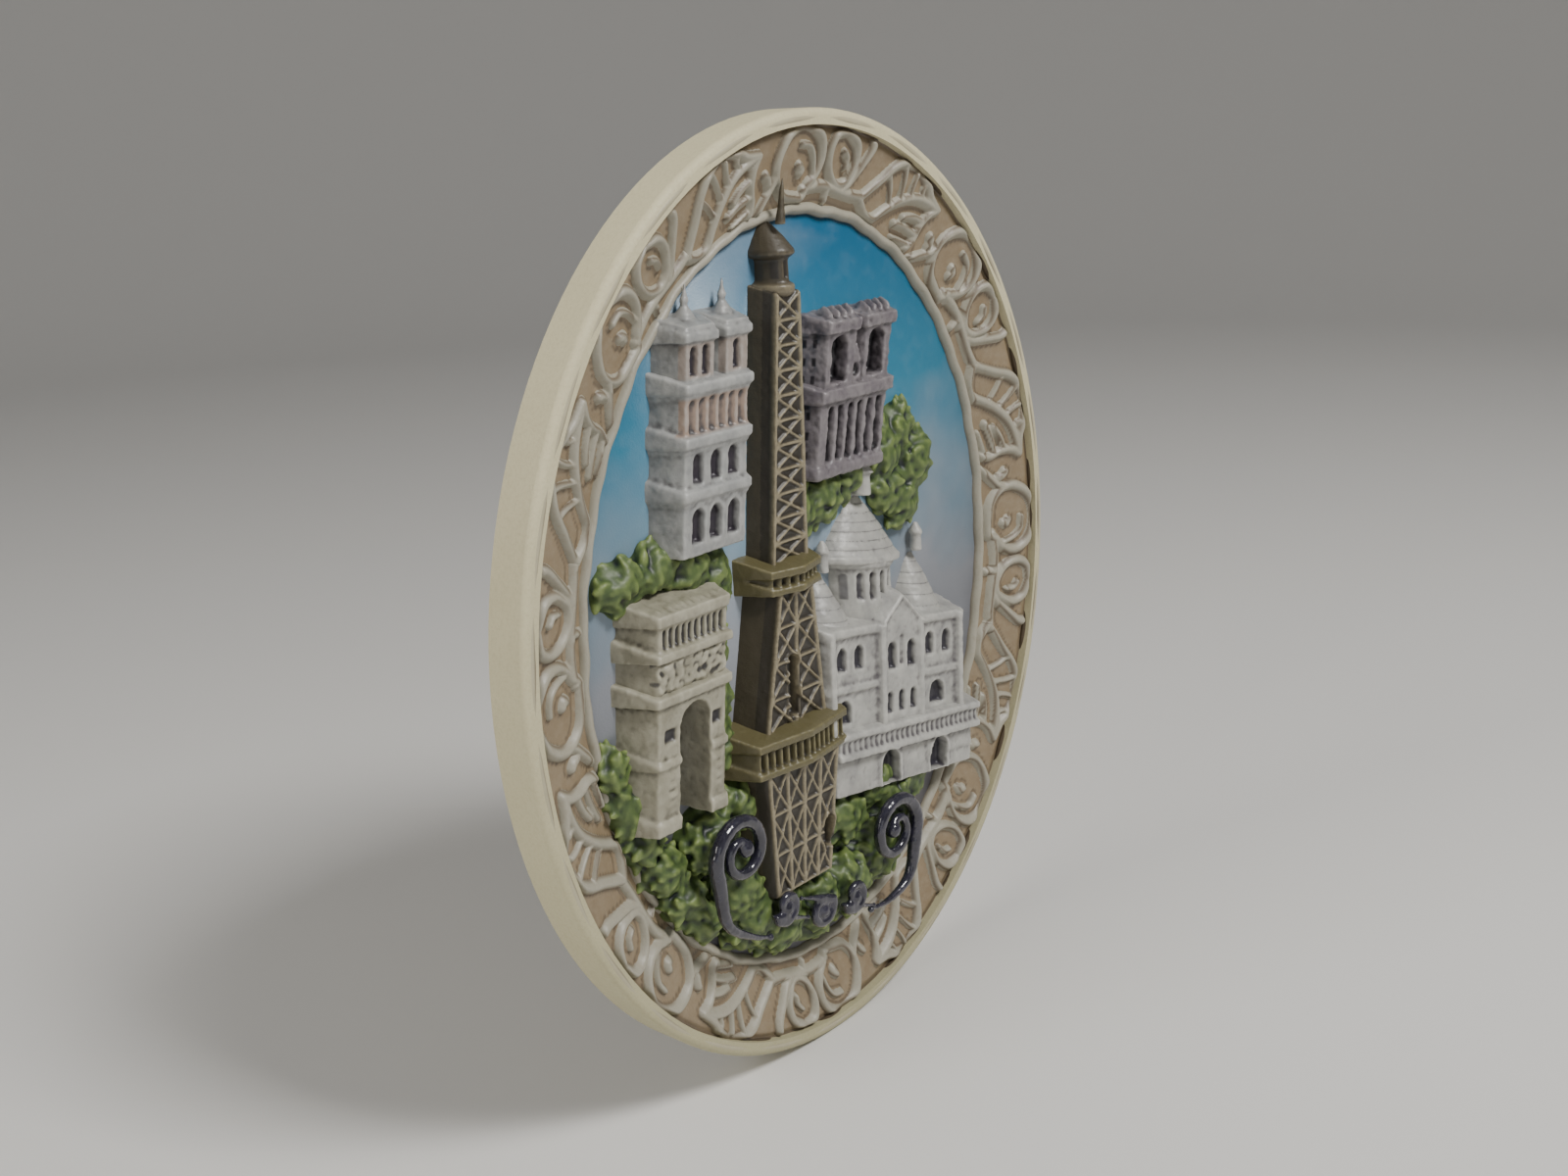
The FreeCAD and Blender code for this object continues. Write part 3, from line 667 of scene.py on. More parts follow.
def cast(name, bm, place, carve=None, grain=0.17, soften=2, rough=0.07):
    """Casts the shapes in a bmesh as one soft-edged piece and stands it at place.

    place is (x, z, lean, fall): the piece's own x and z start there, its uprights move right by
    lean for each mm up, and its level lines drop by fall for each mm to the right.
    """
    for v in bm.verts:
        v.co.y = min(v.co.y, 0.4 - SKY)
    bm.normal_update()
    mesh = bpy.data.meshes.new(name)
    bm.to_mesh(mesh)
    bm.free()
    mesh = remeshed(mesh, grain)
    for last in (False, True):
        points = np.empty(len(mesh.vertices) * 3)
        mesh.vertices.foreach_get("co", points)
        points = points.reshape(-1, 3)
        relief = Relief(points)
        if carve:
            carve(relief)
        if not last:
            points[:, 1] = -relief.h
            mesh.vertices.foreach_set("co", points.ravel())
            mesh.update()
            mesh = remeshed(mesh, grain)
    edges = np.empty(len(mesh.edges) * 2, np.int64)
    mesh.edges.foreach_get("vertices", edges)
    points = relax(points, edges.reshape(-1, 2), soften)
    x0, z0, lean, fall = place
    x, z = points[:, 0].copy(), points[:, 2].copy()
    points[:, 0] = x0 + x + lean * z
    points[:, 2] = z0 + z - fall * x
    mesh.vertices.foreach_set("co", points.ravel())
    mesh.update()
    bump = np.array([noise.noise(Vector(p) / 1.1) + 0.5 * noise.noise(Vector(p) / 0.45)
                     for p in points])
    normals = np.empty(len(points) * 3)
    mesh.vertices.foreach_get("normal", normals)
    points += normals.reshape(-1, 3) * (bump * rough)[:, None]
    mesh.vertices.foreach_set("co", (points * MM).ravel())
    mesh.update()
    mesh.shade_smooth()
    mark_hollows(mesh)
    store_mask(mesh, "stain", relief.stain)
    store_mask(mesh, "gild", relief.gild)
    piece = bpy.data.objects.new(name + "_cast", mesh)
    bpy.context.collection.objects.link(piece)
    return piece


def stone_paint(name, light, dark, shadow, window, warm=None):
    """Brushed stone colour: painted shade in the hollows, painted highlight on the crests, and
    window colour where the casting is pressed in, dark paint in openings and painted shade in
    grooves.
    """
    paint = Paint(name)
    cloud = paint.noise(2.6, 4.0, 0.6)
    streak = paint.noise(0.7, 5.0, 0.7)
    grain = paint.noise(0.22, 3.0, 0.7)
    colour = paint.blend(paint.steps(cloud, 0.3, 0.7), dark, light)
    if warm:
        colour = paint.blend(paint.mask("gild"), colour, warm)
    # Painted shade: the shadow colour fills the hollows, broken up by streaks.
    ragged = paint.maths("MULTIPLY", paint.mask("hollow"), paint.steps(streak, 0.3, 0.7, 0.7, 1.3))
    colour = paint.blend(paint.steps(ragged, 0.04, 0.5, 0.0, 0.95), colour, shadow)
    # Painted highlight: the crests turn lighter than the light tone.
    colour = paint.blend(paint.steps(paint.mask("crest"), 0.15, 0.8, 0.0, 0.6), colour,
                         tuple(min(1.0, c * 1.4) for c in light))
    # Window colour where the casting is pressed in: dark paint in openings and painted shade in
    # grooves.
    colour = paint.blend(paint.steps(paint.mask("stain"), 0.35, 0.9, 0.0, 0.95), colour, window)
    return paint.finish(colour, (0.35, 0.52, streak), grain, 0.03, coat=0.2, coat_rough=0.35)


def stand(piece, material):
    """Paints a casting and puts it in the place of the CAD node it is named after."""
    dress(piece, material)
    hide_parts(piece.name.removesuffix("_cast"))


ARCH_FRONT = span("arch_frieze")[5]
ARCH_WIDE = 9.4
ARCH_AT = (span("arch_piers")[0], span("arch_piers")[2], 0.09, 0.0)
ARCH_COURSES = (12.7, 13.6, 17.0, 17.8, 20.4, 21.4)     # cornice, frieze, cornice, windows, top
arch_stone = stone_paint("arch_stone", (0.38, 0.36, 0.28), (0.235, 0.22, 0.16),
                         (0.060, 0.054, 0.034), (0.018, 0.016, 0.020))


def arch_piers():
    bm = bmesh.new()
    add_block(bm, 0, ARCH_WIDE, 0, ARCH_COURSES[1], ARCH_FRONT)
    add_block(bm, -0.45, ARCH_WIDE + 0.45, ARCH_COURSES[0], ARCH_COURSES[1], ARCH_FRONT + 0.5)
    add_block(bm, -0.2, 3.2, 6.6, 7.2, ARCH_FRONT + 0.3)
    add_block(bm, 7.1, ARCH_WIDE + 0.2, 6.6, 7.2, ARCH_FRONT + 0.3)
    add_block(bm, -0.25, 3.3, 0, 1.3, ARCH_FRONT + 0.35)
    add_block(bm, 7.0, ARCH_WIDE + 0.25, 0, 1.3, ARCH_FRONT + 0.35)

    def carve(relief):
        relief.window(5.1, -1.0, 3.9, 12.8, SKY + 0.3, stain=0.25)
        for x0, x1 in ((0.9, 2.4), (7.6, 8.8)):
            relief.press(relief.panel(x0, x1, 8.9, 10.2), ARCH_FRONT - 0.5, stain=0.9)
            relief.swell(relief.panel(x0 - 0.1, x1 + 0.1, 2.4, 5.8), 0.35, ARCH_FRONT - 0.5,
                         soft=0.5)
            for z in (3.2, 4.2, 5.1):
                relief.press(relief.panel(x0 + 0.2, x1 - 0.3, z, z + 0.25), ARCH_FRONT,
                             stain=0.5)
    return cast("arch_piers", bm, ARCH_AT, carve)


def arch_frieze():
    bm = bmesh.new()
    add_block(bm, -0.05, ARCH_WIDE + 0.05, ARCH_COURSES[1] - 0.1, ARCH_COURSES[2] + 0.1,
              ARCH_FRONT - 0.05)

    def carve(relief):
        swirl = np.array([noise.noise(Vector((x * 1.5, 3.1, z * 1.5)))
                          for x, z in zip(relief.x, relief.z)])
        relief.h += 0.55 * np.clip(swirl, -0.5, 0.5) * (relief.h > ARCH_FRONT - 0.4)
        relief.press(relief.panel(-1, ARCH_WIDE + 1, 13.7, 13.95), ARCH_FRONT - 0.35, stain=0.5)
        # Painted shade in the low parts of the carved swirls.
        relief.stain = np.maximum(relief.stain, np.clip(-swirl * 2.4, 0, 0.8)
                                  * (relief.h > ARCH_FRONT - 1.0))
    return cast("arch_frieze", bm, ARCH_AT, carve)


def arch_attic():
    bm = bmesh.new()
    add_block(bm, 0, ARCH_WIDE, ARCH_COURSES[2], ARCH_COURSES[5], ARCH_FRONT)
    add_block(bm, -0.45, ARCH_WIDE + 0.45, ARCH_COURSES[2], ARCH_COURSES[3], ARCH_FRONT + 0.5)
    add_block(bm, -0.25, ARCH_WIDE + 0.25, ARCH_COURSES[4], ARCH_COURSES[5], ARCH_FRONT + 0.3)
    pitch = 0.87
    for k in range(11):
        x = 0.35 + pitch * k
        add_turned(bm, x, ARCH_FRONT - 1.8, [(0.33, ARCH_COURSES[5] - 0.2),
                                            (0.22, ARCH_COURSES[5] + 0.5)], ARCH_FRONT + 0.1)

    def carve(relief):
        for k in range(10):
            relief.window(0.8 + pitch * k, 18.1, 0.44, 1.9, ARCH_FRONT - 0.6, soft=0.1)
    return cast("arch_attic", bm, ARCH_AT, carve)


for made in (arch_piers(), arch_frieze(), arch_attic()):
    stand(made, arch_stone)

# ---- Twin-towered church ------------------------------------------------------------------------
# Upper left: a resin casting of three storeys split by heavy cornices, with two square towers
# bonded on top, painted white grey with pinkish columns and dark plum windows.
CHURCH_FRONT = 5.7
CHURCH_WIDE = 8.8
CHURCH_AT = (span("church_body")[0], span("church_body")[2], 0.10, 0.0)
CHURCH_CORNICES = (4.5, 9.5, 14.5)
church_stone = stone_paint("church_stone", (0.38, 0.38, 0.365), (0.22, 0.225, 0.225),
                           (0.060, 0.056, 0.058), (0.018, 0.012, 0.022), (0.33, 0.23, 0.17))


def church_body():
    bm = bmesh.new()
    add_block(bm, 0, CHURCH_WIDE, -1.0, 15.4, CHURCH_FRONT)
    for z in CHURCH_CORNICES:
        add_block(bm, -0.3, CHURCH_WIDE + 0.3, z, z + 0.9, CHURCH_FRONT + 0.5)
        add_block(bm, -0.1, CHURCH_WIDE + 0.1, z - 0.45, z, CHURCH_FRONT + 0.2)

    def carve(relief):
        for k in range(3):
            middle = 1.9 + 2.5 * k
            relief.window(middle, 0.3, 1.45, 3.2, CHURCH_FRONT - 0.9)
            relief.surround(middle, 0.3, 1.9, 3.5, 0.12, 0.2, CHURCH_FRONT - 0.3)
            relief.window(middle, 6.0, 1.3, 2.7, CHURCH_FRONT - 0.8)
        for k in range(6):
            relief.window(0.95 + 1.38 * k, 10.7, 0.75, 3.2, CHURCH_FRONT - 0.45, stain=0.45)
        relief.swell(relief.panel(-1, CHURCH_WIDE + 1, 10.6, 14.0), 0.0, CHURCH_FRONT - 0.7,
                     gild=0.85)
    return cast("church_body", bm, CHURCH_AT, carve)


def church_tower(name, x0, x1):
    bm = bmesh.new()
    middle = (x0 + x1) / 2
    add_block(bm, x0, x1, 15.2, 19.4, CHURCH_FRONT - 0.1)
    add_block(bm, x0 - 0.3, x1 + 0.3, 19.2, 20.0, CHURCH_FRONT + 0.25)
    add_block(bm, x0 - 0.1, x1 + 0.1, 20.0, 20.6, CHURCH_FRONT - 0.1)
    add_turned(bm, middle, 3.4, [(1.3, 20.4), (0.9, 21.6), (0.35, 22.3), (0.5, 22.8),
                                 (0.28, 23.3), (0.1, 24.4)], 4.6)

    def carve(relief):
        count = 2 if x1 - x0 > 3.4 else 1
        for k in range(count):
            x = middle + (k - (count - 1) / 2) * 1.7
            relief.window(x, 16.0, 0.85, 2.7, CHURCH_FRONT - 0.9)
        relief.swell(relief.panel(x0 - 1, x1 + 1, 15.8, 19.0), 0.0, CHURCH_FRONT - 0.9, gild=0.5)
    return cast(name, bm, CHURCH_AT, carve, grain=0.15)


for made in (church_body(), church_tower("church_tower_left", 0.1, 3.9),
             church_tower("church_tower_right", 5.7, 8.7)):
    stand(made, church_stone)

# ---- Old cathedral ------------------------------------------------------------------------------
# Upper right: three castings, a gallery of columns under a heavy ledge and two belfries, one with a
# gable beside it. They lean to the right, painted a dusky purple grey with very dark openings.
CATHEDRAL_FRONT = 5.2
CATHEDRAL_AT = (span("cathedral_nave")[0], span("cathedral_nave")[2], 0.18, 0.0)
cathedral_stone = stone_paint("cathedral_stone", (0.21, 0.190, 0.195), (0.105, 0.090, 0.105),
                              (0.022, 0.018, 0.022), (0.008, 0.006, 0.009))


def side_holes(relief, rows):
    """Small dark openings painted down the left wall, which faces away from the front."""
    for z in rows:
        for h in (2.8, 3.8):
            spot = np.maximum(np.abs(relief.z - z) - 0.45, np.abs(relief.h - h) - 0.25)
            relief.stain = np.maximum(relief.stain, np.clip(0.5 - spot / 0.2, 0, 1) * 0.9
                                      * (relief.x < 0.25))


def cathedral_nave():
    bm = bmesh.new()
    add_block(bm, 0, 11.0, -0.6, 7.4, CATHEDRAL_FRONT)
    add_block(bm, -0.4, 11.6, 7.2, 8.5, CATHEDRAL_FRONT + 0.55)
    add_block(bm, -0.2, 11.2, -0.4, 0.5, CATHEDRAL_FRONT + 0.3)

    def carve(relief):
        for k in range(6):
            left = 1.62 * k
            relief.press(relief.panel(1.35 + left, 2.2 + left, 1.1, 6.6),
                         CATHEDRAL_FRONT - 1.0)
        relief.press(relief.panel(0.4, 11.0, 8.2, 8.36), CATHEDRAL_FRONT + 0.3, stain=0.5)
        side_holes(relief, (2.0, 4.0, 6.0))
    return cast("cathedral_nave", bm, CATHEDRAL_AT, carve, rough=0.13)


def cathedral_tower(name, x0, x1, gable=False):
    bm = bmesh.new()
    middle = (x0 + x1) / 2
    add_block(bm, x0, x1, 8.2, 15.0, CATHEDRAL_FRONT)
    add_block(bm, x0 - 0.35, x1 + 0.35, 14.2, 15.4, CATHEDRAL_FRONT + 0.4)
    for k in range(4):
        x = x0 + (x1 - x0) * (k + 0.5) / 4
        add_turned(bm, x, CATHEDRAL_FRONT - 1.4, [(0.5, 15.2), (0.38, 16.2), (0.1, 16.8)],
                   CATHEDRAL_FRONT + 0.1)
    if gable:
        add_block(bm, x1 - 0.6, x1 + 2.4, 8.6, 12.6, CATHEDRAL_FRONT - 0.3,
                  top=(x1 + 0.8, x1 + 1.0))

    def carve(relief):
        relief.window(middle - 0.2, 9.2, 2.5, 4.6, CATHEDRAL_FRONT - 1.9)
        relief.swell(relief.stroke([(middle - 0.2, 9.0), (middle - 0.2, 13.0)], 0.12), 0.7,
                     CATHEDRAL_FRONT - 2.1)
        if gable:
            relief.press(np.hypot(relief.x - x1 - 0.9, relief.z - 9.9) - 0.6,
                         CATHEDRAL_FRONT - 1.0)
            side_holes(relief, (9.6, 11.4, 13.2))
    return cast(name, bm, CATHEDRAL_AT, carve, grain=0.15, rough=0.15)


for made in (cathedral_nave(), cathedral_tower("cathedral_tower_left", 0.3, 4.8, gable=True),
             cathedral_tower("cathedral_tower_right", 6.6, 11.0)):
    stand(made, cathedral_stone)

# ---- Domed basilica -----------------------------------------------------------------------------
# Right: a white church cast in six parts: a large pointed dome on a drum, two small domes, a
# gabled front with two rows of windows, and a terrace. Its level lines fall to the right.
BASILICA_FRONT = 6.0
BASILICA_AT = (span("basilica_terrace")[0], span("basilica_terrace")[3], 0.0, 0.15)
basilica_stone = stone_paint("basilica_stone", (0.45, 0.445, 0.41), (0.28, 0.275, 0.265),
                             (0.080, 0.072, 0.078), (0.018, 0.016, 0.026))
EAVES = 11.6


def basilica_walls():
    bm = bmesh.new()
    add_block(bm, -0.9, 23.9, -0.5, EAVES, BASILICA_FRONT)
    add_block(bm, -1.2, 24.2, 4.6, 5.3, BASILICA_FRONT + 0.3)
    add_block(bm, -1.2, 24.3, EAVES - 0.7, EAVES + 0.2, BASILICA_FRONT + 0.4)
    add_block(bm, 8.2, 16.0, -0.5, EAVES, BASILICA_FRONT + 0.45)
    add_block(bm, 8.2, 16.0, EAVES - 0.1, 14.9, BASILICA_FRONT + 0.45, top=(12.0, 12.2))
    for x in (-0.5, 8.4, 15.6, 23.4):
        add_block(bm, x - 0.35, x + 0.35, -0.5, EAVES, BASILICA_FRONT + 0.75)

    def carve(relief):
        for x in (1.7, 4.7, 17.9, 21.2):
            relief.window(x, 7.0, 1.45, 2.6, BASILICA_FRONT - 0.8)
            relief.surround(x, 7.0, 1.9, 2.85, 0.12, 0.18, BASILICA_FRONT - 0.2)
        for x in (10.3, 13.9):
            relief.window(x, 6.3, 1.5, 3.0, BASILICA_FRONT - 0.5)
        relief.window(12.1, 6.6, 0.9, 3.6, BASILICA_FRONT + 0.1, stain=0.35)
        for x, wide in ((1.9, 2.3), (19.2, 2.7)):
            relief.window(x, 1.0, wide, 2.6, BASILICA_FRONT - 0.9)
            relief.surround(x, 1.0, wide + 0.4, 2.8, 0.12, 0.18, BASILICA_FRONT - 0.2)
        for x in (9.7, 11.9, 14.1):
            relief.window(x, 1.2, 1.0, 2.4, BASILICA_FRONT - 0.4)
        slope = 3.3 / 3.9
        roof = np.abs(relief.z - (14.7 - slope * np.abs(relief.x - 12.1))) - 0.22
        relief.swell(np.where(relief.z > EAVES - 0.2, roof, 1.0), 0.3, BASILICA_FRONT)
    return cast("basilica_walls", bm, BASILICA_AT, carve)


def basilica_terrace():
    bm = bmesh.new()
    add_block(bm, 0.1, 26.4, -2.9, 0.0, BASILICA_FRONT + 0.7)
    add_block(bm, -0.1, 26.7, -0.6, 0.1, BASILICA_FRONT + 1.05)
    add_block(bm, -0.1, 26.7, -2.9, -2.2, BASILICA_FRONT + 1.05)
    add_block(bm, 0.2, 26.0, -7.4, -2.6, BASILICA_FRONT)
    add_block(bm, 17.0, 26.0, -5.2, -2.6, BASILICA_FRONT + 0.2)

    def carve(relief):
        for k in range(27):
            left = 0.97 * k
            relief.press(relief.panel(0.5 + left, 0.95 + left, -2.05, -0.75),
                         BASILICA_FRONT + 0.45, soft=0.16, stain=0.35)
        for x in (9.9, 19.2):
            relief.window(x, -7.2, 3.1, 3.9, BASILICA_FRONT - 1.3)
            relief.surround(x, -7.2, 3.7, 4.2, 0.2, 0.3, BASILICA_FRONT - 0.4)
    return cast("basilica_terrace", bm, BASILICA_AT, carve)


def basilica_drum():
    bm = bmesh.new()
    add_turned(bm, 9.4, SKY, [(5.1, EAVES - 0.6), (5.0, 18.6)], BASILICA_FRONT - 0.6, 40)
    add_turned(bm, 9.4, SKY, [(5.4, 18.0), (5.6, 19.0)], BASILICA_FRONT - 0.2, 40)

    def carve(relief):
        for k in range(6):
            relief.window(5.2 + 1.7 * k, 14.4, 0.8, 3.0, BASILICA_FRONT - 1.7, stain=0.75)
    return cast("basilica_drum", bm, BASILICA_AT, carve)


def dome(name, x, foot, half, rise, lantern, front, bands):
    """A pointed dome with grooves between its tile courses and a small lantern on top."""
    bm = bmesh.new()
    rings = [(half * (1 - t) ** 0.8, foot + rise * t) for t in (0, 0.12, 0.27, 0.42, 0.57, 0.72,
                                                                0.85, 0.95)]
    add_turned(bm, x, SKY - 0.2, [(half * 1.03, foot - 0.6), (half * 1.03, foot + 0.2)], front, 40)
    add_turned(bm, x, SKY - 0.2, rings, front - 0.1, 40)
    top = foot + rise
    add_turned(bm, x, SKY + 1.4, [(half * 0.17, top - 0.6), (half * 0.15, top + lantern * 0.5),
                                  (half * 0.22, top + lantern * 0.55),
                                  (half * 0.05, top + lantern)])

    def carve(relief):
        for k in range(bands):
            z = foot + rise * (0.12 + 0.78 * k / bands)
            # The grooves between the tile courses take the dark colour as painted shade.
            relief.press(relief.panel(x - half, x + half, z, z + 0.12), front, soft=0.1)
            line = np.abs(relief.z - z + 0.02 * (relief.x - x) ** 2 / half) - 0.07
            relief.h -= 0.16 * np.clip(0.5 - line / 0.2, 0, 1) * (relief.h > SKY + 0.5)
    return cast(name, bm, BASILICA_AT, carve)


for made in (basilica_walls(), basilica_terrace(), basilica_drum(),
             dome("basilica_main_dome", 9.4, 19.0, 6.8, 7.4, 3.6, BASILICA_FRONT - 0.2, 6),
             dome("basilica_left_dome", 2.4, EAVES, 4.0, 6.6, 3.0, BASILICA_FRONT, 4),
             dome("basilica_right_dome", 19.4, EAVES, 4.2, 7.8, 2.8, BASILICA_FRONT, 5)):
    stand(made, basilica_stone)

# ---- Lattice tower ------------------------------------------------------------------------------
# Centre left: a tall tapering iron-work tower in seven castings. The lattice stands up in low
# relief and is dry-brushed beige over dark khaki, and the decks are picked out in olive gold. The
# crests carry a painted highlight and the hollows a near-black painted shade.
UPRIGHT_PLACE = (0.0, 0.0, 0.0, 0.0)


def tower_paint(name, body, light):
    paint = Paint(name)
    streak = paint.noise(0.6, 5.0, 0.7)
    cloud = paint.noise(3.0)
    grain = paint.noise(0.2, 3.0, 0.7)
    colour = paint.blend(cloud, tuple(c * 0.75 for c in body), body)
    worn = paint.maths("MULTIPLY", paint.mask("gild"), paint.steps(streak, 0.3, 0.65, 0.45, 1.0))
    colour = paint.blend(worn, colour, light)
    # Painted highlight: the crests turn the light colour.
    colour = paint.blend(paint.steps(paint.mask("crest"), 0.25, 0.9, 0.0, 0.7), colour, light)
    # Painted shade: near black in the hollows.
    colour = paint.wash(colour, (0.022, 0.018, 0.012), paint.mask("hollow"), 0.1, 0.7, 0.9)
    colour = paint.wash(colour, (0.018, 0.015, 0.012), paint.mask("stain"), 0.3, 0.9, 0.9)
    return paint.finish(colour, (0.35, 0.52, streak), grain, 0.03, coat=0.25, coat_rough=0.35)


khaki = tower_paint("tower_khaki", (0.066, 0.054, 0.034), (0.31, 0.265, 0.17))
deck_gold = tower_paint("deck_olive", (0.125, 0.108, 0.048), (0.34, 0.30, 0.15))


def lattice(relief, middle, half, z0, z1, bays, front, columns=1):
    """Posts, rails and crossed braces standing up on a tapering face, with dark gaps between.

    middle and half give the face's centre and half width at a height.
    """
    relief.stain = np.maximum(relief.stain, 0.75 * (relief.h > front - 1.1))
    away = np.full(relief.x.shape, 9.0)
    for column in range(columns + 1):
        share = -1 + 2 * column / columns
        post = [(middle(z) + share * half(z) * 0.93, z) for z in (z0, (z0 + z1) / 2, z1)]
        away = np.minimum(away, relief.stroke(post, 0.24))
    for k in range(bays):
        a, b = z0 + (z1 - z0) * k / bays, z0 + (z1 - z0) * (k + 1) / bays
        for column in range(columns):
            left, right = -1 + 2 * column / columns, -1 + 2 * (column + 1) / columns
            corner = [(middle(z) + share * half(z) * 0.93, z)
                      for share, z in ((left, a), (right, b), (right, a), (left, b))]
            away = np.minimum(away, relief.stroke([corner[0], corner[1]], 0.13))
            away = np.minimum(away, relief.stroke([corner[2], corner[3]], 0.13))
            away = np.minimum(away, relief.stroke([corner[0], corner[2]], 0.15))
    raised = np.clip(0.5 - away / 0.16, 0, 1) * (relief.h > front - 1.1)
    relief.h += 0.42 * raised
    relief.gild = np.maximum(relief.gild, raised)
    relief.stain = relief.stain * (1 - raised)


def between(z0, value0, z1, value1):
    return lambda z: value0 + (value1 - value0) * (z - z0) / (z1 - z0)


def tower_stage(node, z0, foot_middle, foot_half, top_half, bays, columns, front, opening=None):
    """One tapering stretch of shaft; opening is (x, foot, width, height) of a tall arch in it."""
    z1 = span(node)[3]
    top_middle = foot_middle + (z1 - z0) * 0.0484
    bm = bmesh.new()
    add_block(bm, foot_middle - foot_half, foot_middle + foot_half, z0 - 0.3, z1 + 0.3, front,
              top=(top_middle - top_half, top_middle + top_half))
    middle, half = between(z0, foot_middle, z1, top_middle), between(z0, foot_half, z1, top_half)

    def carve(relief):
        lattice(relief, middle, half, z0, z1, bays, front, columns)
        if opening:
            x, foot, wide, tall = opening
            relief.window(x, foot, wide, tall, front - 0.9)
            relief.surround(x, foot, wide + 0.5, tall + 0.3, 0.14, 0.35, front - 0.5, gild=0.9)
    return cast(node, bm, UPRIGHT_PLACE, carve, grain=0.14, soften=1, rough=0.03)


def tower_deck(node, pickets):
    """A gallery whose front comes to a shallow ridge, with a rail and a row of pickets."""
    left, right, z0, z1, _, front = span(node)
    middle = (left + right) / 2
    bm = bmesh.new()
    for low, high, proud in ((z0, z1, 0.0), (z0 - 0.1, z0 + 0.6, 0.3), (z1 - 0.7, z1 + 0.1, 0.35)):
        add_block(bm, left - proud, right + proud, low, high, front - 0.5 + proud)
        bmesh.ops.bisect_plane(bm, geom=bm.verts[:] + bm.edges[:] + bm.faces[:],
                               plane_co=(middle, 0, 0), plane_no=(1, 0, 0))
    for v in bm.verts:
        if v.co.y < -SKY - 1:
            v.co.y += 1.0 * abs(v.co.x - middle) / (middle - left) - 0.5

    def carve(relief):
        crest = front - np.abs(relief.x - middle) / (middle - left)
        gap = (right - left) / pickets
        phase = np.abs((relief.x - left) / gap - np.floor((relief.x - left) / gap) - 0.5) * gap
        inside = np.maximum(phase - gap * 0.27, relief.panel(left, right, z0 + 0.75, z1 - 0.85))
        relief.press(inside, crest - 0.75, soft=0.12, stain=0.9)
    return cast(node, bm, UPRIGHT_PLACE, carve, grain=0.14, soften=1, rough=0.04)


def tower_cabin():
    left, right, z0, z1, _, front = span("tower_cabin")
    middle = (left + right) / 2
    bm = bmesh.new()
    add_turned(bm, middle, SKY - 0.2, [(2.1, z0 - 0.3), (2.5, z0 + 0.2), (2.5, z0 + 0.9),
                                       (2.0, z0 + 1.2)], front)
    add_turned(bm, middle, SKY - 0.2, [(1.75, z0 + 1.0), (1.7, z0 + 3.9)], front - 0.5)
    add_turned(bm, middle, SKY - 0.2, [(2.3, z0 + 3.5), (2.65, z0 + 3.9), (2.6, z0 + 4.3),
                                       (1.9, z0 + 5.4), (1.2, z0 + 6.4), (0.5, z1 + 0.1),
                                       (0.3, z1 + 0.6)], front + 0.1)

    def carve(relief):
        for x in (-1.0, 0.1, 1.2):
            relief.window(middle + x, z0 + 1.5, 0.55, 1.9, front - 0.9, soft=0.1)
        relief.swell(relief.panel(left, right, z0 - 0.2, z0 + 1.0), 0.0, SKY, gild=0.6)
    return cast("tower_cabin", bm, UPRIGHT_PLACE, carve, grain=0.14, soften=1, rough=0.03)


def tower_spire():
    left, right, z0, z1, _, front = span("tower_spire")
    foot = (left + right) / 2 - 0.3
    bm = bmesh.new()
    add_turned(bm, foot, front - 0.9, [(0.55, z0 - 0.4), (0.36, z0 + 1.2), (0.22, z1 - 0.8),
                                       (0.06, z1)], segments=12)
    for v in bm.verts:
        v.co.x += 0.14 * (v.co.z - z0)
    return cast("tower_spire", bm, UPRIGHT_PLACE, grain=0.12, soften=0, rough=0.02)


for made in (tower_stage("tower_base", -29.0, -7.4, 4.6, 6.0, 3, 4, 6.5, (-3.2, -26.5, 1.5, 3.6)),
             tower_stage("tower_lower_shaft", -11.8, -6.6, 5.0, 2.6, 4, 2, 5.6,
                         (-6.9, -10.6, 1.3, 6.6)),
             tower_stage("tower_upper_shaft", 5.4, -5.7, 2.8, 1.8, 11, 1, 4.8),
             tower_cabin(), tower_spire()):
    stand(made, khaki)
for made in (tower_deck("tower_first_deck", 14), tower_deck("tower_second_deck", 7)):
    stand(made, deck_gold)

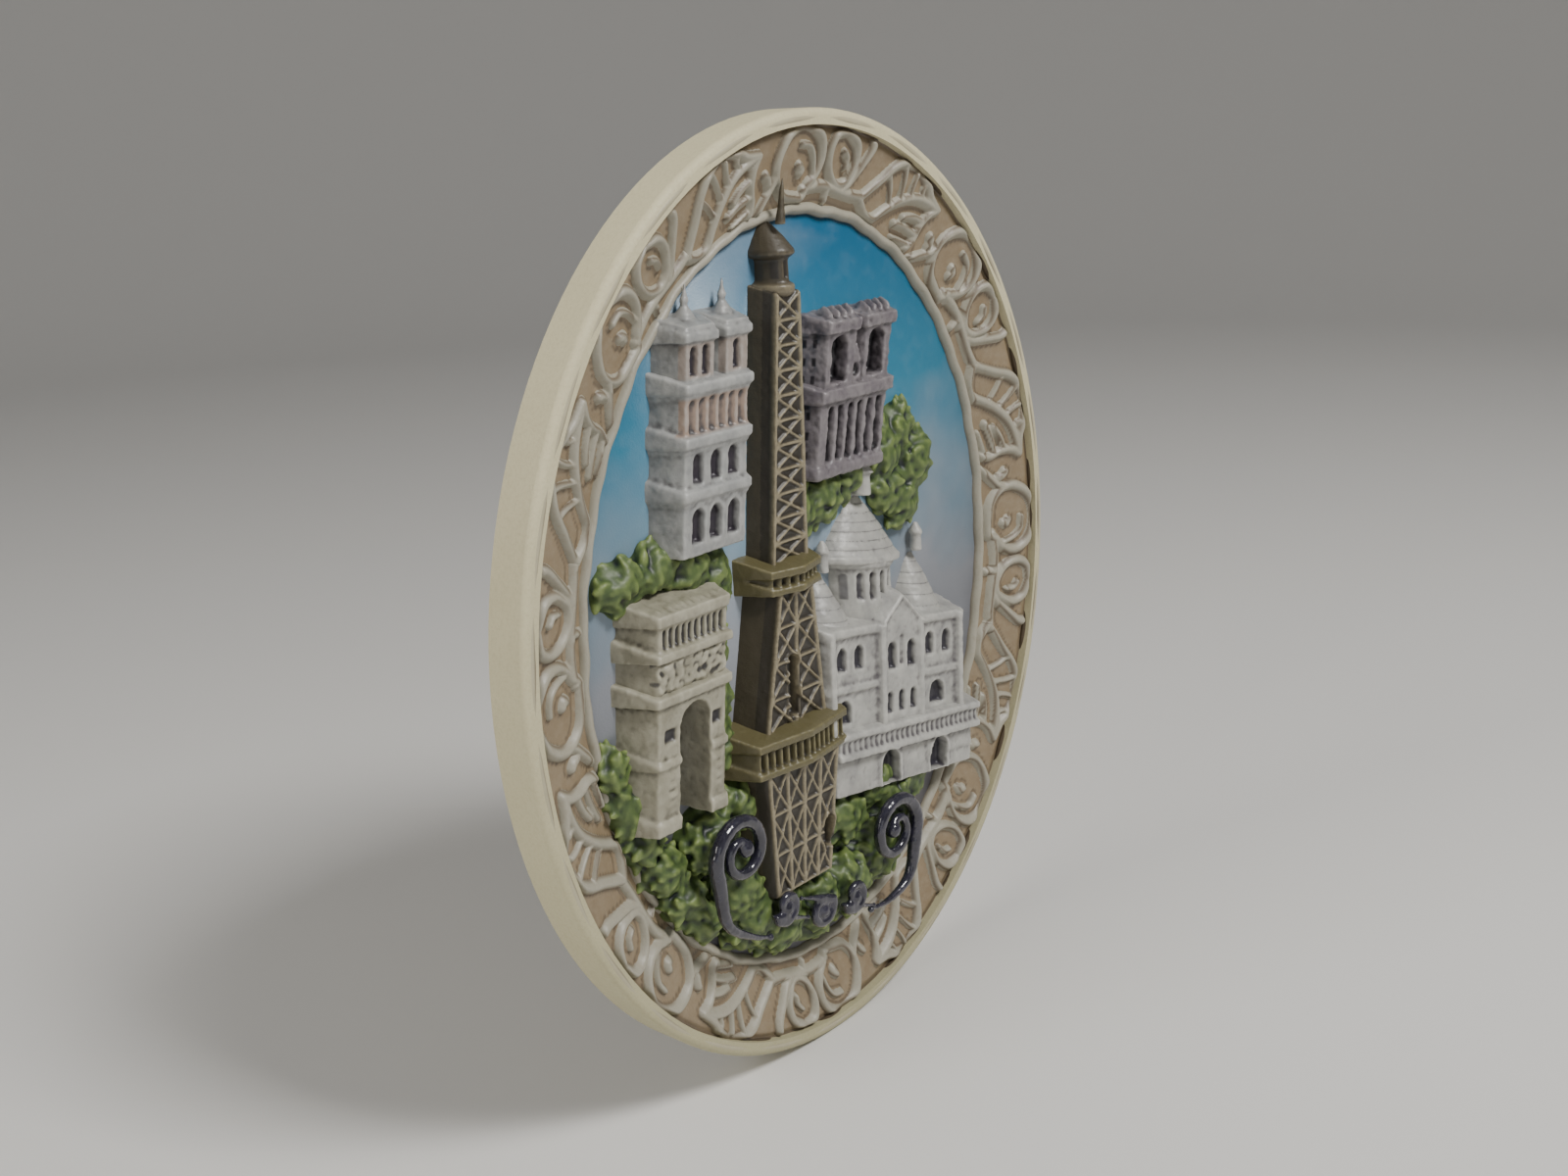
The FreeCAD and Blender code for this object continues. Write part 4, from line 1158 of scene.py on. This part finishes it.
# ---- Foliage ------------------------------------------------------------------------------------
# Thick clumps of pointed leaves fill the gaps between the buildings and bank up at the foot. Cast
# resin, painted a mid green, with a near-black blue-green painted shade in the hollows and a
# yellow-green painted highlight on the tips.
def foliage(name, clumps, seed, leaf=1.15):
    """Leaves over a row of rounded clumps, each clump (x, z, half wide, half tall, height)."""
    pick = random.Random(seed)
    bm = bmesh.new()
    for x, z, wide, tall, height in clumps:
        deep = height - SKY
        made = bmesh.ops.create_icosphere(bm, subdivisions=3, radius=1.0)["verts"]
        bmesh.ops.transform(bm, verts=made, matrix=Matrix.Translation((x, -SKY, z))
                            @ Matrix.Diagonal((wide, deep * 0.86, tall, 1)))
        for _ in range(int(4.2 * wide * tall) + 6):
            turn, out = pick.uniform(0, math.tau), math.sqrt(pick.random()) * 0.97
            up = math.sqrt(max(0.0, 1 - out * out))
            place = Vector((x + wide * out * math.cos(turn), -SKY - deep * 0.86 * up,
                            z + tall * out * math.sin(turn)))
            size = leaf * pick.uniform(0.75, 1.3)
            made = bmesh.ops.create_icosphere(bm, subdivisions=2, radius=1.0)["verts"]
            for v in made:
                v.co.z *= 1 - 0.45 * abs(v.co.x)
                v.co.y *= 1 + 0.5 * abs(v.co.z)
            spin = (Matrix.Rotation(pick.uniform(0, math.tau), 4, "Y")
                    @ Matrix.Rotation(pick.uniform(-1.3, 1.3), 4, "X")
                    @ Matrix.Rotation(pick.uniform(-0.5, 0.5), 4, "Z"))
            bmesh.ops.transform(bm, verts=made, matrix=Matrix.Translation(place) @ spin
                                @ Matrix.Diagonal((size, size * 0.36, size * 0.5, 1)))
    return cast(name, bm, UPRIGHT_PLACE, grain=0.19, soften=1, rough=0.04)


def leaf_paint():
    paint = Paint("leaf_green")
    cloud = paint.noise(2.2, 3.0)
    streak = paint.noise(0.6, 4.0, 0.7)
    grain = paint.noise(0.25, 3.0, 0.7)
    colour = paint.blend(paint.steps(cloud, 0.3, 0.7), (0.050, 0.085, 0.024), (0.085, 0.130, 0.032))
    # Painted highlight: yellow-green on the crests of the leaves, broken up by streaks.
    tips = paint.maths("MULTIPLY", paint.steps(paint.mask("crest"), 0.1, 0.8),
                       paint.steps(streak, 0.25, 0.65, 0.4, 1.0))
    colour = paint.blend(tips, colour, (0.25, 0.32, 0.095))
    # Painted shade: near-black blue-green in the hollows.
    colour = paint.wash(colour, (0.006, 0.012, 0.012), paint.mask("hollow"), 0.05, 0.55, 0.97)
    return paint.finish(colour, (0.42, 0.6, streak), grain, 0.03, coat=0.12, coat_rough=0.35)


leaf_green = leaf_paint()
FOLIAGE = {
    "foliage_upper_left": [(-28.0, 8.0, 3.4, 2.6, 4.4), (-23.4, 8.6, 3.4, 2.4, 4.4),
                           (-18.6, 7.6, 3.0, 2.6, 4.6), (-15.2, 5.6, 2.2, 3.8, 4.4),
                           (-15.4, -0.4, 1.7, 3.6, 4.2), (-15.6, -6.4, 1.7, 3.6, 4.2),
                           (-15.6, -11.4, 1.8, 3.0, 4.4)],
    "foliage_middle": [(-1.6, 9.6, 2.4, 3.4, 4.2), (2.4, 10.4, 3.0, 3.0, 4.6),
                       (6.4, 12.0, 2.6, 2.6, 4.4)],
    "foliage_right": [(12.6, 13.6, 3.0, 3.6, 4.6), (15.8, 15.6, 3.0, 3.0, 4.4),
                      (18.6, 11.6, 3.2, 3.4, 4.8), (16.4, 7.6, 2.8, 3.6, 4.4),
                      (13.6, 9.4, 2.8, 3.0, 4.4)],
    "foliage_lower_left": [(-30.8, -9.6, 1.7, 2.6, 4.4), (-29.6, -13.6, 1.9, 2.8, 5.0),
                           (-27.6, -17.8, 2.4, 2.8, 5.2), (-25.4, -21.6, 2.6, 2.8, 5.4),
                           (-22.8, -25.6, 2.8, 2.8, 5.8), (-20.4, -28.6, 2.6, 2.4, 6.2)],
    "foliage_bank": [(-18.6, -20.6, 4.2, 3.8, 6.2), (-14.2, -18.4, 2.4, 3.0, 5.8),
                     (-15.6, -27.0, 4.2, 4.2, 6.8), (-13.6, -31.0, 3.6, 4.0, 6.8),
                     (-9.2, -32.8, 4.4, 4.6, 7.0), (-3.2, -33.9, 4.2, 4.4, 7.0),
                     (2.6, -33.6, 4.2, 4.4, 7.0), (8.4, -31.2, 4.4, 4.9, 7.0),
                     (12.2, -27.8, 3.4, 4.4, 6.8), (-6.0, -26.0, 5.4, 4.0, 5.6),
                     (3.2, -26.0, 4.0, 3.4, 5.8), (9.2, -24.6, 4.0, 3.0, 5.8),
                     (15.4, -25.2, 3.4, 3.2, 5.6)],
}
for seed, (node, clumps) in enumerate(FOLIAGE.items(), 11):
    stand(foliage(node, clumps, seed), leaf_green)

# ---- Scroll ornament ----------------------------------------------------------------------------
# A running scroll across the foot of the plate: two large curls that face each other, with three
# small ones between them. Each is a separate glossy casting in dark slate glaze.
CURLS = {node: span(node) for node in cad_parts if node.startswith("ornament_curl")}


def curl(node, turns, hand, start, tail, thick):
    """A tapering spiral tube; tail is a list of points that its outer end runs on through."""
    left, right, bottom, top, _, front = CURLS[node]
    x0, z0, radius = (left + right) / 2, (bottom + top) / 2, (right - left) / 2 - thick
    line = []
    steps = int(turns * 20)
    for k in range(steps + 1):
        share = k / steps
        angle = math.radians(start) + hand * math.tau * turns * (1 - share)
        reach = radius * (0.16 + 0.84 * share ** 0.8)
        line.append((x0 + reach * math.cos(angle), z0 + reach * math.sin(angle),
                     thick * (0.55 + 0.45 * share)))
    knots = smooth_line([line[-1][:2]] + tail, 6)[1:] if tail else []
    for k, (x, z) in enumerate(knots, 1):
        line.append((x, z, thick * (1 - 0.75 * k / len(knots))))
    path = bpy.data.curves.new(node, "CURVE")
    path.dimensions = "3D"
    path.bevel_depth = 1.0
    path.bevel_resolution = 4
    path.use_fill_caps = True
    spline = path.splines.new("POLY")
    spline.points.add(len(line) - 1)
    for point, (x, z, size) in zip(spline.points, line):
        point.co = (x, -front + 0.75, z, 1)
        point.radius = size
    holder = bpy.data.objects.new("wire", path)
    bpy.context.collection.objects.link(holder)
    bpy.context.view_layer.update()
    depsgraph = bpy.context.evaluated_depsgraph_get()
    mesh = bpy.data.meshes.new_from_object(holder.evaluated_get(depsgraph))
    bpy.data.objects.remove(holder)
    bm = bmesh.new()
    bm.from_mesh(mesh)
    bead = bmesh.ops.create_uvsphere(bm, u_segments=16, v_segments=10, radius=thick * 1.15)
    bmesh.ops.translate(bm, verts=bead["verts"], vec=(line[0][0], -front + 0.75, line[0][1]))
    bead = bmesh.ops.create_uvsphere(bm, u_segments=16, v_segments=10, radius=thick * 0.5)
    bmesh.ops.translate(bm, verts=bead["verts"], vec=(line[-1][0], -front + 0.75, line[-1][1]))
    return cast(node, bm, UPRIGHT_PLACE, grain=0.14, soften=3, rough=0.05)


def slate_paint():
    paint = Paint("slate_glaze")
    cloud = paint.noise(1.6, 3.0)
    ripple_size = paint.noise(0.9, 2.0)
    colour = paint.blend(paint.steps(cloud, 0.3, 0.7), (0.012, 0.012, 0.020), (0.032, 0.030, 0.050))
    # Painted highlight: the crests of the curls turn a lighter slate.
    colour = paint.wash(colour, (0.075, 0.075, 0.10), paint.mask("crest"), 0.3, 1.0, 0.35)
    return paint.finish(colour, (0.12, 0.24, cloud), ripple_size, 0.05, coat=0.8, coat_rough=0.08)


slate = slate_paint()
stand(curl("ornament_curl_1", 1.5, -1, 205, [(-20.6, -28.2), (-17.2, -31.0), (-14.2, -32.4)], 0.85),
      slate)
for number, side in ((2, 1), (3, -1), (4, 1)):
    node = f"ornament_curl_{number}"
    left, right, bottom, top, _, _ = CURLS[node]
    end = (right + 0.9, bottom - 0.2) if side > 0 else (left - 0.9, top + 0.2)
    stand(curl(node, 1.2, side, 200 if side > 0 else 20, [end], 0.64), slate)
stand(curl("ornament_curl_5", 1.5, 1, 335, [(10.4, -35.0), (6.6, -36.6), (3.0, -36.4)], 0.85),
      slate)

# ---- Magnets and glue ---------------------------------------------------------------------------
# Two thin ferrite discs set flush in pockets in the flat back, each on a bed of epoxy. They are
# plain pressed discs, so their shape stays as it is and only the finish is added.
def ferrite_paint():
    paint = Paint("pressed_ferrite")
    grain = paint.noise(0.12, 4.0, 0.8)
    cloud = paint.noise(3.0)
    colour = paint.blend(cloud, (0.045, 0.045, 0.048), (0.075, 0.074, 0.075))
    colour = paint.wash(colour, (0.12, 0.12, 0.125), grain, 0.5, 0.75, 0.5)
    return paint.finish(colour, (0.45, 0.65, grain), grain, 0.02)


def epoxy_paint():
    paint = Paint("cured_epoxy")
    cloud = paint.noise(1.5)
    colour = paint.blend(cloud, (0.55, 0.50, 0.34), (0.62, 0.58, 0.42))
    return paint.finish(colour, (0.2, 0.35, cloud), cloud, 0.03)


ferrite, epoxy = ferrite_paint(), epoxy_paint()
for place in ("upper", "lower"):
    repaint(f"magnet_{place}", ferrite)
    repaint(f"glue_{place}", epoxy)

# ---- Floor and light ----------------------------------------------------------------------------
# A plain pale sweep that the plate stands on, lit by a large soft key from high in front, a faint
# fill from the front left and a side light that falls on the cream band.
SWEEP, COVE = 620.0, 420.0
bm = bmesh.new()
path = [(0.0, 0.0), (SWEEP, 0.0)] + [(SWEEP + COVE * math.sin(math.radians(d)),
                                      COVE - COVE * math.cos(math.radians(d)))
                                     for d in range(6, 91, 6)] + [(SWEEP + COVE, 1400.0)]
ring = [bm.verts.new((x, 0.0, z - HALF_HEIGHT)) for x, z in path]
edges = [bm.edges.new(pair) for pair in zip(ring, ring[1:])]
bmesh.ops.spin(bm, geom=ring + edges, cent=(0, 0, 0), axis=(0, 0, 1), dvec=(0, 0, 0),
               angle=math.tau, steps=96, use_merge=True)
bmesh.ops.remove_doubles(bm, verts=bm.verts, dist=0.01)
floor = new_piece("floor", bm)
plain = bpy.data.materials.new("pale_floor")
plain.use_nodes = True
shader = plain.node_tree.nodes["Principled BSDF"]
shader.inputs["Base Color"].default_value = (0.72, 0.71, 0.69, 1)
shader.inputs["Roughness"].default_value = 0.85
floor.data.materials.append(plain)


def soft_light(name, place, size_mm, watts, tint):
    """A square area light in millimetres that looks at the middle of the plate."""
    data = bpy.data.lights.new(name, "AREA")
    data.size = size_mm * MM
    data.energy = watts
    data.color = tint
    light = bpy.data.objects.new(name, data)
    bpy.context.collection.objects.link(light)
    light.location = Vector(place) * MM
    light.rotation_euler = (-Vector(place)).to_track_quat("-Z", "Y").to_euler()


soft_light("key", (40, -330, 380), 130, 2.5, (1.0, 0.985, 0.96))
soft_light("fill", (-330, -420, 60), 320, 0.22, (0.93, 0.96, 1.0))
soft_light("side", (-440, 60, 200), 240, 1.2, (1.0, 0.97, 0.92))
world = bpy.data.worlds.new("studio")
world.use_nodes = True
background = world.node_tree.nodes["Background"]
background.inputs["Color"].default_value = (0.80, 0.82, 0.85, 1)
background.inputs["Strength"].default_value = 0.2
bpy.context.scene.world = world
